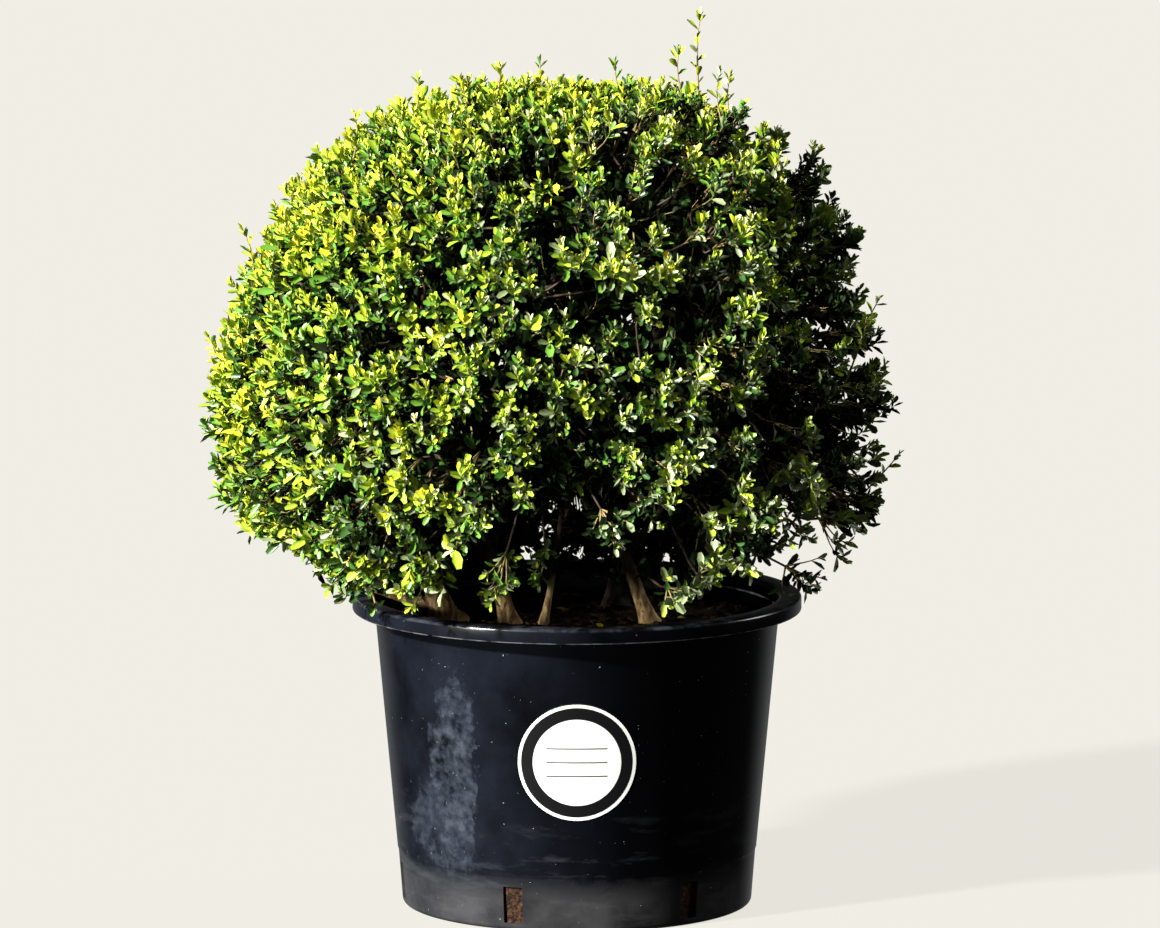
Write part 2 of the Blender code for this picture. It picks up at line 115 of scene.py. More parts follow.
# %% [markdown]
# ## Effects that several materials share
#
# Dust, scuffs, bark and compost are all patches of one colour on another. One node group makes such patches
# from noise, and another keeps them to a place on the object with soft, ragged edges. Each material then
# sets its own sizes. The groups put out masks only, so that the shader stays in the material itself.

# %% Two node groups: patches, and a place to keep them to
def group(name, inputs, outputs):
    """A shader node group with named sockets. Returns the tree, its input node and its output node."""
    tree = bpy.data.node_groups.new(name, "ShaderNodeTree")
    for direction, sockets in (("INPUT", inputs), ("OUTPUT", outputs)):
        for label, kind, start in sockets:
            socket = tree.interface.new_socket(label, in_out=direction, socket_type=kind)
            if start is not None:
                socket.default_value = start
    return tree, tree.nodes.new("NodeGroupInput"), tree.nodes.new("NodeGroupOutput")


FLOAT = "NodeSocketFloat"
VECTOR = "NodeSocketVector"

patches, given, out = group(
    "patches",
    [("Vector", VECTOR, None), ("Scale", FLOAT, 30.0), ("Detail", FLOAT, 6.0), ("Low", FLOAT, 0.45),
     ("High", FLOAT, 0.6)],
    [("Mask", FLOAT, None)],
)
cloud = node(
    patches, "ShaderNodeTexNoise", {"Roughness": 0.6},
    {"Vector": given.outputs["Vector"], "Scale": given.outputs["Scale"], "Detail": given.outputs["Detail"]},
)
cut = node(
    patches, "ShaderNodeMapRange",
    feeds={"Value": cloud.outputs["Fac"], "From Min": given.outputs["Low"], "From Max": given.outputs["High"]},
)
patches.links.new(cut.outputs["Result"], out.inputs["Mask"])

ragged_place, given, out = group(
    "ragged_place",
    [("Vector", VECTOR, None), ("Centre", VECTOR, None), ("Half size", VECTOR, None), ("Ragged", FLOAT, 0.4),
     ("Scale", FLOAT, 30.0)],
    [("Mask", FLOAT, None)],
)
offset = node(
    ragged_place, "ShaderNodeVectorMath", operation="SUBTRACT",
    feeds={0: given.outputs["Vector"], 1: given.outputs["Centre"]},
)
share = node(
    ragged_place, "ShaderNodeVectorMath", operation="DIVIDE",
    feeds={0: offset.outputs[0], 1: given.outputs["Half size"]},
)
distance = node(ragged_place, "ShaderNodeVectorMath", operation="LENGTH", feeds={0: share.outputs[0]})
rough_edge = node(
    ragged_place, "ShaderNodeTexNoise", {"Detail": 8.0, "Roughness": 0.7},
    {"Vector": given.outputs["Vector"], "Scale": given.outputs["Scale"]},
)
wander = node(
    ragged_place, "ShaderNodeMath", {1: 0.5}, {0: rough_edge.outputs["Fac"]}, operation="SUBTRACT",
)
amount = node(
    ragged_place, "ShaderNodeMath", feeds={0: wander.outputs[0], 1: given.outputs["Ragged"]},
    operation="MULTIPLY",
)
edge = node(
    ragged_place, "ShaderNodeMath", feeds={0: distance.outputs["Value"], 1: amount.outputs[0]},
    operation="ADD",
)
inside = node(
    ragged_place, "ShaderNodeMapRange", {"From Min": 1.0, "From Max": 0.75}, {"Value": edge.outputs[0]},
)
ragged_place.links.new(inside.outputs["Result"], out.inputs["Mask"])


def use_group(tree, which, settings, feeds):
    made = node(tree, "ShaderNodeGroup", node_tree=which)
    for socket, value in settings.items():
        made.inputs[socket].default_value = value
    for socket, source in feeds.items():
        tree.links.new(source, made.inputs[socket])
    return made.outputs["Mask"]


def times(tree, first, second):
    feeds = {0: first}
    settings = {}
    if isinstance(second, float):
        settings[1] = second
    else:
        feeds[1] = second
    return node(tree, "ShaderNodeMath", settings, feeds, operation="MULTIPLY").outputs[0]


def blend_colours(tree, mask, under, over):
    """A colour over another where the mask is. Either may be a plain colour or a node's output."""
    mix = node(tree, "ShaderNodeMix", feeds={0: mask}, data_type="RGBA")
    for socket, colour in ((6, under), (7, over)):
        if isinstance(colour, tuple):
            mix.inputs[socket].default_value = (*colour, 1.0)
        else:
            tree.links.new(colour, mix.inputs[socket])
    return mix.outputs[2]


print("node groups:", [tree.name for tree in bpy.data.node_groups])

# %% [markdown]
# ## The pot
#
# A nursery pot is moulded in one piece from recycled black plastic, thin-walled and slightly tapered so
# that it stacks, with a turned-down rim to lift it by. A turned profile is the natural way to make it: the
# right half of the section is drawn once, with small arcs where the plastic rounds over, and spun round the
# axis. The overall sizes come from the frame, so the finer pot keeps to the solid one.

# %% Turn the pot
pot_low, pot_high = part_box("pot")
POT_HEIGHT = pot_high.z
RIM_RADIUS = pot_high.x
TOP_RADIUS = RIM_RADIUS - 0.021
BASE_RADIUS = 0.175
WALL = 0.003
RIM_DROP = 0.015
RIM_ROUND = 0.0032
INNER_ROUND = 0.002
LIP_ROUND = 0.006
BASE_ROUND = 0.005
STEP_HEIGHT = 0.056
STEP_DEPTH = 0.0010
POT_SIDES = 144
MERGE = 0.00001


def wall_radius(height):
    """The outside radius of the pot's wall."""
    return BASE_RADIUS + (TOP_RADIUS - BASE_RADIUS) * height / POT_HEIGHT


def arc(centre, radius, start, end, steps):
    """Points along an arc of the section, with angles in degrees."""
    turns = [math.radians(start + (end - start) * step / steps) for step in range(steps + 1)]
    return [(centre[0] + radius * math.cos(turn), centre[1] + radius * math.sin(turn)) for turn in turns]


def turned(profile, sides):
    """Spins a section that starts and ends on the axis into a closed solid."""
    bm = bmesh.new()
    points = [bm.verts.new((radius, 0.0, height)) for radius, height in profile]
    edges = [bm.edges.new(pair) for pair in zip(points, points[1:])]
    bmesh.ops.spin(
        bm, geom=points + edges, cent=(0, 0, 0), axis=(0, 0, 1), angle=math.tau, steps=sides, use_merge=True,
    )
    bmesh.ops.remove_doubles(bm, verts=bm.verts, dist=MERGE)
    bmesh.ops.recalc_face_normals(bm, faces=bm.faces)
    return bm


def pot_section():
    lip = RIM_RADIUS - RIM_ROUND
    skirt = RIM_RADIUS - WALL
    under = POT_HEIGHT - WALL
    inside = wall_radius(under) - WALL
    foot = wall_radius(BASE_ROUND)
    step = wall_radius(STEP_HEIGHT)
    return (
        [(0.0, 0.0)]
        + arc((foot - BASE_ROUND, BASE_ROUND), BASE_ROUND, -90, 0, 5)
        + [(step - STEP_DEPTH, STEP_HEIGHT - STEP_DEPTH * 3), (step - STEP_DEPTH * 0.7, STEP_HEIGHT - STEP_DEPTH)]
        + [(step - STEP_DEPTH * 0.2, STEP_HEIGHT), (wall_radius(STEP_HEIGHT + STEP_DEPTH), STEP_HEIGHT + STEP_DEPTH)]
        + [(wall_radius(under - RIM_ROUND), under - RIM_ROUND)]
        + [(wall_radius(under) + INNER_ROUND, under), (skirt, under), (skirt, POT_HEIGHT - RIM_DROP)]
        + arc((RIM_RADIUS - INNER_ROUND, POT_HEIGHT - RIM_DROP + INNER_ROUND), INNER_ROUND, -90, 0, 4)
        + arc((lip, POT_HEIGHT - RIM_ROUND), RIM_ROUND, 0, 90, 5)
        + arc((inside + LIP_ROUND, POT_HEIGHT - LIP_ROUND), LIP_ROUND, 90, 180, 6)
        + [(wall_radius(WALL) - WALL, WALL), (0.0, WALL)]
    )


# %% [markdown]
# The drain slots go through the foot of the wall all the way round. They are cut with one box each, as a
# moulder's tool would leave them, and the cut is then applied, so that the slots are real openings.

# %% Cut the drain slots
SLOT_COUNT = 6
SLOT_WIDTH = 0.020
SLOT_DEPTH = 0.030
SLOT_BOTTOM = 0.0075
SLOT_TOP = 0.0445
FIRST_SLOT = math.radians(-111)


def slot_turn(index):
    return FIRST_SLOT + math.tau * index / SLOT_COUNT


def slot_cutter():
    bm = bmesh.new()
    for index in range(SLOT_COUNT):
        turn = Matrix.Rotation(slot_turn(index), 4, "Z")
        out = Matrix.Translation((BASE_RADIUS, 0.0, (SLOT_TOP + SLOT_BOTTOM) / 2))
        size = Matrix.Diagonal((SLOT_DEPTH, SLOT_WIDTH, SLOT_TOP - SLOT_BOTTOM, 1.0))
        bmesh.ops.create_cube(bm, size=1.0, matrix=turn @ out @ size)
    return bm


def cut_from(bm, cutter_bm):
    """Takes one closed shape out of another with an exact Boolean, and returns the result as a bmesh."""
    stand_in = plain("stand_in", (0.5, 0.5, 0.5), 0.5)
    body = object_from("body", bm, stand_in)
    cutter = object_from("cutter", cutter_bm, stand_in)
    step = body.modifiers.new("cut", "BOOLEAN")
    step.operation = "DIFFERENCE"
    step.solver = "EXACT"
    step.object = cutter
    result = bmesh.new()
    result.from_mesh(body.evaluated_get(bpy.context.evaluated_depsgraph_get()).data)
    for thing in (body, cutter):
        mesh = thing.data
        bpy.data.objects.remove(thing)
        bpy.data.meshes.remove(mesh)
    bpy.data.materials.remove(stand_in)
    return result


# %% [markdown]
# Black plastic that has stood outdoors is never plain. Its sunny left half is painted a pale bluish sheen,
# with one patch of dried lime where water ran down, there is splashed soil round the foot, and the rim's two
# edges are scuffed grey, because pots are lifted and stacked by them, and painted paler still as the highlight
# lines of their rounded edges. Each is a duller grey over the glossy black, kept to its own place by the shared
# groups.

# %% The pot's black plastic, with painted sheen, dust and scuffs, and painted rim highlights
SMEARS = (
    ((-0.120, -0.150, 0.160), (0.030, 0.090, 0.095)),
    ((-0.138, -0.150, 0.098), (0.050, 0.090, 0.052)),
)
SMEAR_EDGE = -0.0955
SMEAR_WANDER = 0.009
SPLASH = ((0.0, 0.0, -0.040), (10.0, 10.0, 0.097))


def ramp(tree, value, start, full):
    """A mask that rises from none at start to all at full."""
    return node(tree, "ShaderNodeMapRange", {"From Min": start, "From Max": full}, {"Value": value}).outputs["Result"]


def black_plastic():
    made, tree, shader = blank_material("black_plastic", 0.24, specular=0.45)
    place = node(tree, "ShaderNodeTexCoord").outputs["Object"]
    axes = node(tree, "ShaderNodeSeparateXYZ", feeds={0: place}).outputs

    def mottled(scale, detail, low, high):
        settings = {"Scale": scale, "Detail": detail, "Low": low, "High": high}
        return use_group(tree, patches, settings, {"Vector": place})

    def spot(centre, half_size, ragged, scale):
        settings = {"Centre": centre, "Half size": half_size, "Ragged": ragged, "Scale": scale}
        return use_group(tree, ragged_place, settings, {"Vector": place})

    # Painted sheen: the sunny left side of the wall is painted a paler bluish grey for the sky's sheen on it
    painted_left_sheen = times(tree, ramp(tree, axes["X"], 0.050, -0.110), mottled(14.0, 8.0, 0.30, 0.72))
    upper, lower = (spot(*smear, 1.6, 60.0) for smear in SMEARS)
    lower = times(tree, lower, 0.7)
    both = node(tree, "ShaderNodeMath", feeds={0: upper, 1: lower}, operation="MAXIMUM").outputs[0]
    uneven = node(
        tree, "ShaderNodeMath", {1: SMEAR_WANDER}, {0: mottled(55.0, 6.0, 0.40, 0.60), 2: axes["X"]},
        operation="MULTIPLY_ADD",
    ).outputs[0]
    both = times(tree, both, ramp(tree, uneven, SMEAR_EDGE + 0.0015, SMEAR_EDGE - 0.0015))
    smear = times(tree, both, mottled(80.0, 15.0, 0.36, 0.66))
    splash = times(tree, spot(*SPLASH, 0.5, 22.0), mottled(22.0, 10.0, 0.20, 0.66))
    flattened = node(tree, "ShaderNodeMapping", {"Scale": (0.5, 0.5, 2.4)}, {"Vector": place}).outputs[0]
    rubs = use_group(
        tree, patches, {"Scale": 24.0, "Detail": 9.0, "Low": 0.54, "High": 0.66}, {"Vector": flattened},
    )
    rubs = times(tree, rubs, ramp(tree, axes["Z"], 0.150, 0.060))
    # Scuffed rim edges: partly real wear, partly painted highlight lines along the rim's rounded top and lower edges
    upper_scuff_and_highlight = times(
        tree, ramp(tree, axes["Z"], POT_HEIGHT - 0.0034, POT_HEIGHT - 0.0018), mottled(45.0, 8.0, 0.42, 0.60),
    )
    lower_scuff_and_highlight = times(
        tree, ramp(tree, axes["Z"], POT_HEIGHT - RIM_DROP + 0.0016, POT_HEIGHT - RIM_DROP + 0.0006),
        times(tree, ramp(tree, axes["Z"], POT_HEIGHT - RIM_DROP - 0.001, POT_HEIGHT - RIM_DROP),
              mottled(60.0, 8.0, 0.38, 0.58)),
    )
    colour = blend_colours(tree, painted_left_sheen, (0.0010, 0.0011, 0.0020), (0.0085, 0.0110, 0.0190))
    for mask, share, tint in (
        (rubs, 0.6, (0.030, 0.033, 0.040)),
        (splash, 0.62, (0.060, 0.060, 0.064)),
        (smear, 0.8, (0.038, 0.048, 0.068)),
        (upper_scuff_and_highlight, 0.3, (0.085, 0.095, 0.120)),
        (lower_scuff_and_highlight, 0.9, (0.300, 0.310, 0.330)),
    ):
        colour = blend_colours(tree, times(tree, mask, share), colour, tint)
    colour = blend_colours(tree, mottled(420.0, 1.0, 0.785, 0.81), colour, (0.40, 0.41, 0.43))
    tree.links.new(colour, shader.inputs["Base Color"])
    dull = node(
        tree, "ShaderNodeMapRange", {"To Min": 0.22, "To Max": 0.60}, {"Value": smear},
    ).outputs["Result"]
    tree.links.new(dull, shader.inputs["Roughness"])
    return made


pot = object_from("pot_moulding", cut_from(turned(pot_section(), POT_SIDES), slot_cutter()), black_plastic())
dress(pot, "pot_plastic", "pot")
print("pot:", len(pot.data.polygons), "faces, rim", round(RIM_RADIUS * 2, 3), "m across")

# %% [markdown]
# ## The label
#
# A round weatherproof sticker sits on the front of the wall. Its own print isn't repeated here: it becomes a
# plain write-on label, white, with one dark band inside its edge and a few ruled lines. The disc is a flat
# turned shape that is bent round the wall, and its flat form is kept as a UV map, so the print is drawn by
# distance from the middle and can't slide.

# %% Bend the label round the wall
LABEL_RADIUS = 0.059
LABEL_HEIGHT = 0.174
LABEL_THICKNESS = 0.0006
LABEL_GAP = 0.0003
LABEL_SIDES = 96
LABEL_RINGS = 12
BAND_OUTER = 0.0555
BAND_INNER = 0.0440
BAND_SOFT = 0.0004
LINE_STEP = 0.014
LINE_WIDTH = 0.0010
LINE_HALF = 0.030
LINES = (-1, 0, 1)


def label_shape():
    rings = [LABEL_RADIUS * ring / LABEL_RINGS for ring in range(LABEL_RINGS + 1)]
    back = [(radius, 0.0) for radius in rings]
    front = [(radius, LABEL_THICKNESS) for radius in reversed(rings)]
    bm = turned(back + front, LABEL_SIDES)
    uv = bm.loops.layers.uv.new("flat")
    for face in bm.faces:
        for loop in face.loops:
            across, up, _ = loop.vert.co
            loop[uv].uv = (across, up)
    for vert in bm.verts:
        across, up, outwards = vert.co
        height = LABEL_HEIGHT + up
        turn = across / wall_radius(height) - math.pi / 2
        radius = wall_radius(height) + LABEL_GAP + outwards
        vert.co = (radius * math.cos(turn), radius * math.sin(turn), height)
    bmesh.ops.recalc_face_normals(bm, faces=bm.faces)
    return bm


def between(tree, value, low, high, soft):
    """A mask that is one between two values, with soft edges."""
    rise = node(
        tree, "ShaderNodeMapRange", {"From Min": low - soft, "From Max": low}, {"Value": value},
    ).outputs["Result"]
    fall = node(
        tree, "ShaderNodeMapRange", {"From Min": high + soft, "From Max": high}, {"Value": value},
    ).outputs["Result"]
    return times(tree, rise, fall)


def label_paper():
    made, tree, shader = blank_material("label_paper", 0.38, specular=0.25)
    flat = node(tree, "ShaderNodeUVMap", uv_map="flat").outputs["UV"]
    from_middle = node(tree, "ShaderNodeVectorMath", feeds={0: flat}, operation="LENGTH").outputs["Value"]
    colour = blend_colours(
        tree, between(tree, from_middle, BAND_INNER, BAND_OUTER, BAND_SOFT),
        (0.69, 0.70, 0.70), (0.004, 0.004, 0.005),
    )
    axes = node(tree, "ShaderNodeSeparateXYZ", feeds={0: flat})
    for line in LINES:
        up = between(
            tree, axes.outputs["Y"], line * LINE_STEP - LINE_WIDTH / 2, line * LINE_STEP + LINE_WIDTH / 2,
            BAND_SOFT,
        )
        across = between(tree, axes.outputs["X"], -LINE_HALF, LINE_HALF, BAND_SOFT)
        colour = blend_colours(tree, times(tree, up, across), colour, (0.05, 0.05, 0.055))
    tree.links.new(colour, shader.inputs["Base Color"])
    return made


label = object_from("round_label", label_shape(), label_paper())
dress(label, "label_paper", "label")
print("label:", round(LABEL_RADIUS * 2, 3), "m across")

# %% [markdown]
# ## The potting mix
#
# The pot is filled with composted bark. Its surface is turned like the pot and then pushed up and down by
# noise, so that it is never level, and loose chips of bark lie over it. The chips are hundreds of small
# crooked blocks, so they are made as one joined mesh from arrays, which is much faster than one by one.

# %% A mesh from arrays of points and triangles
def mesh_of(name, points, triangles, finish):
    """One joined, smooth-shaded mesh object from arrays of points and triangles."""
    mesh = bpy.data.meshes.new(name)
    mesh.vertices.add(len(points))
    mesh.vertices.foreach_set("co", points.astype(np.float32).ravel())
    mesh.loops.add(triangles.size)
    mesh.loops.foreach_set("vertex_index", triangles.astype(np.int32).ravel())
    mesh.polygons.add(len(triangles))
    mesh.polygons.foreach_set("loop_start", np.arange(0, triangles.size, 3, dtype=np.int32))
    mesh.update(calc_edges=True)
    mesh.shade_smooth()
    return object_of(name, mesh, finish)


def repeated(triangles, count, points_each):
    """The triangles of one small shape, repeated for each of its copies."""
    shift = np.arange(count)[:, None, None] * points_each
    return (triangles[None] + shift).reshape(-1, 3)


def unit(vectors):
    return vectors / np.linalg.norm(vectors, axis=-1, keepdims=True)


rng = np.random.default_rng(23)

# %% Fill the pot
SOIL_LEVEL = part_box("potting_mix")[1].z
SOIL_EDGE_SINK = 0.007
SOIL_GAP = 0.0006
SOIL_FLAT_RADIUS = 0.165
SOIL_RINGS = 26
SOIL_SIDES = 120
LUMP_HEIGHT = 0.005


def soil_level(x, y):
    """The height of the potting mix's surface over a point."""
    from_axis = math.hypot(x, y)
    sink = max(0.0, (from_axis - SOIL_FLAT_RADIUS) / (TOP_RADIUS - SOIL_FLAT_RADIUS)) * SOIL_EDGE_SINK
    lumps = noise.noise(Vector((x, y, 0.0)) * 45) + 0.5 * noise.noise(Vector((x, y, 3.0)) * 130)
    return SOIL_LEVEL - sink - LUMP_HEIGHT * (0.5 - 0.5 * lumps)


def potting_mix():
    edge = SOIL_LEVEL - SOIL_EDGE_SINK - LUMP_HEIGHT
    inside = [wall_radius(height) - WALL - SOIL_GAP for height in (WALL + SOIL_GAP, edge)]
    rings = [(inside[1] * (1 - ring / SOIL_RINGS), SOIL_LEVEL) for ring in range(1, SOIL_RINGS + 1)]
    profile = [(0.0, WALL + SOIL_GAP), (inside[0], WALL + SOIL_GAP), (inside[1], edge)] + rings
    bm = turned(profile, SOIL_SIDES)
    for vert in bm.verts:
        if vert.co.z > edge:
            vert.co.z = soil_level(vert.co.x, vert.co.y)
    return bm


def compost(name, dark, light, crown_shade):
    made, tree, shader = blank_material(name, 0.9, specular=0.2)
    place = node(tree, "ShaderNodeTexCoord").outputs["Object"]
    height = node(tree, "ShaderNodeSeparateXYZ", feeds={0: place}).outputs["Z"]
    crumbs = use_group(tree, patches, {"Scale": 220.0, "Detail": 6.0, "Low": 0.40, "High": 0.64}, {"Vector": place})
    colour = blend_colours(tree, crumbs, dark, light)
    # Painted shade: above 0.10 to 0.15 m the mix and chips are darkened for the crown's shade over the surface, and
    # stay light low behind the slots
    colour = blend_colours(tree, times(tree, ramp(tree, height, 0.10, 0.15), crown_shade), colour, dark)
    tree.links.new(colour, shader.inputs["Base Color"])
    bump = node(tree, "ShaderNodeBump", {"Strength": 0.7, "Distance": 0.002}, {"Height": crumbs})
    tree.links.new(bump.outputs["Normal"], shader.inputs["Normal"])
    return made


mix = object_from("potting_mix_surface", potting_mix(), compost("compost", (0.004, 0.0025, 0.002), (0.075, 0.034, 0.014), 0.75))
dress(mix, "potting_mix", "potting_mix")

# %% Scatter bark chips on it, and behind the drain slots
CHIP_COUNT = 900
CHIP_SIZE = ((0.004, 0.013), (0.003, 0.007), (0.0012, 0.0028))
CHIPS_AT_SLOT = 16
CHIP_CORNERS = np.array([(x, y, z) for x in (-1, 1) for y in (-1, 1) for z in (-1, 1)], float)
CHIP_TRIANGLES = np.array([
    (0, 1, 3), (0, 3, 2), (4, 6, 7), (4, 7, 5), (0, 4, 5), (0, 5, 1),
    (2, 3, 7), (2, 7, 6), (0, 2, 6), (0, 6, 4), (1, 5, 7), (1, 7, 3),
])


def chip_places():
    """Where the chips lie: spread evenly on the surface, and a few behind each slot."""
    radius = np.sqrt(rng.uniform(0, 1, CHIP_COUNT)) * (wall_radius(SOIL_LEVEL) - WALL - 0.010)
    turn = rng.uniform(0, math.tau, CHIP_COUNT)
    spots = [
        (r * math.cos(t), r * math.sin(t), soil_level(r * math.cos(t), r * math.sin(t)) + 0.0008)
        for r, t in zip(radius, turn)
    ]
    inside = BASE_RADIUS - WALL - 0.006
    for index in range(SLOT_COUNT):
        for _ in range(CHIPS_AT_SLOT):
            turn = slot_turn(index) + rng.uniform(-0.055, 0.055)
            height = rng.uniform(SLOT_BOTTOM + 0.002, SLOT_TOP - 0.004)
            spots.append((inside * math.cos(turn), inside * math.sin(turn), height))
    return np.array(spots)


def random_axes(count, tilt):
    """Random sets of three axes that lie nearly flat, or anyhow where tilt is large."""
    up = unit(np.array((0.0, 0.0, 1.0)) + rng.normal(0, tilt, (count, 3)))
    first = unit(np.cross(up, rng.normal(0, 1, (count, 3))))
    return first, np.cross(up, first), up


def bark_chips():
    spots = chip_places()
    count = len(spots)
    axes = random_axes(count, 0.25)
    corners = CHIP_CORNERS[None] * rng.uniform(0.65, 1.0, (count, 8, 3))
    points = spots[:, None]
    for axis, (low, high), along in zip(axes, CHIP_SIZE, range(3)):
        half = rng.uniform(low, high, count)[:, None, None] / 2
        points = points + corners[:, :, along, None] * axis[:, None] * half
    return points.reshape(-1, 3), repeated(CHIP_TRIANGLES, count, 8)


chips = mesh_of("bark_chips", *bark_chips(), compost("chips", (0.010, 0.0045, 0.002), (0.55, 0.27, 0.110), 0.85))
dress(chips, "potting_mix")
print("potting mix:", len(mix.data.polygons), "faces, and", CHIP_COUNT, "chips")

# %% [markdown]
# ## The stems and boughs
#
# Japanese holly makes several stems from one root. Each rises from the mix with a small flare, bows a
# little, and forks. The rule is the same as in the frame's source: a stem eases up to its fork, and a bough
# leaves it on a smooth curve that ends under one mass of foliage. Here each limb gets many more rings, and
# its bark is in the mesh: ridges along it, flakes across it, and a swelling where it forks.

# %% The rule for stems and boughs
CROWN_CENTRE = np.array((-0.030, 0.0, 0.509))
CROWN_RADIUS = 0.334
CROWN_RISE = 0.337
CROWN_DROP = 0.216
RISE_POWERS = (1.95, 2.40)
DROP_POWERS = (2.65, 3.40)
LOWEST = math.radians(-36)
ARCH_AZIMUTH = math.radians(-80)
ARCH_HALF_WIDTH = math.radians(30)
ARCH_TOP = math.radians(-9)
ARCH_STARTS_BELOW = math.radians(10)
ARCH_POWER = 4

MASSES = {
    "foliage_right": (342, -4),
    "foliage_back_right": (54, -4),
    "foliage_back_left": (126, -4),
    "foliage_left": (198, -4),
    "foliage_front": (270, -4),
    "foliage_upper_back": (90, 38),
    "foliage_upper_left": (212, 38),
    "foliage_upper_right": (328, 38),
    "foliage_top": (0, 84),
}
STEMS = {
    "stem_left": ((-0.130, -0.020), (-0.156, -0.026, 0.350), 0.0130, 0.0090),
    "stem_middle": ((-0.068, -0.030), (-0.087, -0.034, 0.358), 0.0080, 0.0066),
    "stem_right": ((0.073, -0.030), (0.042, -0.030, 0.372), 0.0070, 0.0060),
    "stem_slender": ((-0.034, -0.042), (-0.010, -0.050, 0.440), 0.0036, 0.0022),
    "stem_back_left": ((-0.080, 0.050), (-0.104, 0.066, 0.392), 0.0105, 0.0080),
    "stem_back_right": ((0.040, 0.055), (0.062, 0.074, 0.400), 0.0105, 0.0080),
}
BOUGHS = {
    "bough_low_left": ("stem_left", (-0.212, -0.034, 0.325), 0.40, (-1.0, -0.1, 0.0), 0.0060),
    "bough_left": ("stem_left", "foliage_left", 0.90, (-0.5, -0.1, 0.5), 0.0065),
    "bough_upper_left": ("stem_left", "foliage_upper_left", 0.97, (0.1, 0.1, 1.0), 0.0072),
    "bough_front": ("stem_middle", "foliage_front", 0.95, (-0.5, -0.3, 0.9), 0.0056),
    "bough_top": ("stem_middle", "foliage_top", 0.97, (0.1, 0.1, 1.0), 0.0060),
    "bough_right": ("stem_right", "foliage_right", 0.88, (1.0, 0.0, 0.6), 0.0052),
    "bough_upper_right": ("stem_right", "foliage_upper_right", 0.97, (0.4, -0.1, 0.9), 0.0056),
    "bough_back_left": ("stem_back_left", "foliage_back_left", 0.85, (-0.4, 0.7, 0.6), 0.0060),
    "bough_back_right": ("stem_back_right", "foliage_back_right", 0.85, (0.5, 0.6, 0.6), 0.0060),
    "bough_upper_back": ("stem_back_right", "foliage_upper_back", 0.97, (-0.3, 0.1, 1.0), 0.0074),
}
STEM_BOW = 0.006
STEM_EASE = 1.25
BOUGH_END = 0.62
BOUGH_TIP_RADIUS = 0.0040
BEND = 0.36


def direction(azimuth, elevation):
    level = np.cos(elevation)
    return np.stack((level * np.cos(azimuth), level * np.sin(azimuth), np.sin(elevation)), axis=-1)


def lift_over_arch(ways):
    """Squeezes the lowest directions upwards, so that the foliage's lower edge follows the arch in front."""
    azimuth = np.arctan2(ways[..., 1], ways[..., 0])
    elevation = np.arcsin(np.clip(ways[..., 2], -1, 1))
    turn = (azimuth - ARCH_AZIMUTH + math.pi) % math.tau - math.pi
    rise = np.exp(-(np.abs(turn / ARCH_HALF_WIDTH) ** ARCH_POWER))
    limit = LOWEST + (ARCH_TOP - LOWEST) * rise
    squeeze = (ARCH_STARTS_BELOW - limit) / (ARCH_STARTS_BELOW - LOWEST)
    lifted = direction(azimuth, ARCH_STARTS_BELOW - (ARCH_STARTS_BELOW - elevation) * squeeze)
    return np.where((elevation >= ARCH_STARTS_BELOW)[..., None], ways, lifted)


def crown_reach(ways):
    """The clipped surface's distance from the crown's centre, in directions of length one."""
    level = np.hypot(ways[..., 0], ways[..., 1])
    rightness = 0.5 + 0.5 * ways[..., 0] / np.maximum(level, 1e-9)
    rising = ways[..., 2] > 0
    left, right = (np.where(rising, *pair) for pair in zip(RISE_POWERS, DROP_POWERS))
    power = left + (right - left) * rightness
    height = np.where(rising, CROWN_RISE, CROWN_DROP)
    return ((level / CROWN_RADIUS) ** power + (np.abs(ways[..., 2]) / height) ** power) ** (-1 / power)


def on_crown(ways, share):
    return CROWN_CENTRE + ways * (crown_reach(ways) * share)[..., None]


def mass_direction(name):
    azimuth, elevation = MASSES[name]
    return lift_over_arch(direction(math.radians(azimuth), math.radians(elevation)))


def smooth_curves(start, lead, arrive, end, places):
    """Points along curves that leave start towards lead and reach end along arrive, at places from 0 to 1."""
    pull = np.linalg.norm(end - start, axis=-1, keepdims=True) * BEND
    handles = (start, start + unit(lead) * pull, end - unit(arrive) * pull, end)
    t = places[..., None]
    weights = ((1 - t) ** 3, 3 * t * (1 - t) ** 2, 3 * t * t * (1 - t), t ** 3)
    return sum(handle[..., None, :] * weight for handle, weight in zip(handles, weights))


def stem_at(name, t):
    """A point of a stem, where t runs from its foot to its fork."""
    foot, fork, _, _ = STEMS[name]
    start = np.array((*foot, SOIL_LEVEL - 0.004))
    end = np.array(fork)
    bow = unit(np.cross((0.0, 0.0, 1.0), end - start)) * STEM_BOW
    return start + (end - start) * t ** STEM_EASE + bow * math.sin(math.pi * t)


def bough_ends(name):
    """Where a bough starts, its first and last directions, and where it ends."""
    stem, target, share, lead, _ = BOUGHS[name]
    start = stem_at(stem, share)
    if target in MASSES:
        out = mass_direction(target)
        end = CROWN_CENTRE + out * crown_reach(out) * BOUGH_END
    else:
        end = np.array(target)
        out = end - start
    return start, np.array(lead), out, end


# %% Model one limb with its bark
STEM_SIDES = 28
STEM_RINGS = 56
BOUGH_SIDES = 16
BOUGH_RINGS = 72
FLARE = 0.75
FLARE_HEIGHT = 0.014
FLARE_LOBES = 4
LOBE_DEPTH = 0.2
RIDGE_DEPTH = 0.10
FLAKE_DEPTH = 0.07
KNOB_DEPTH = 0.10


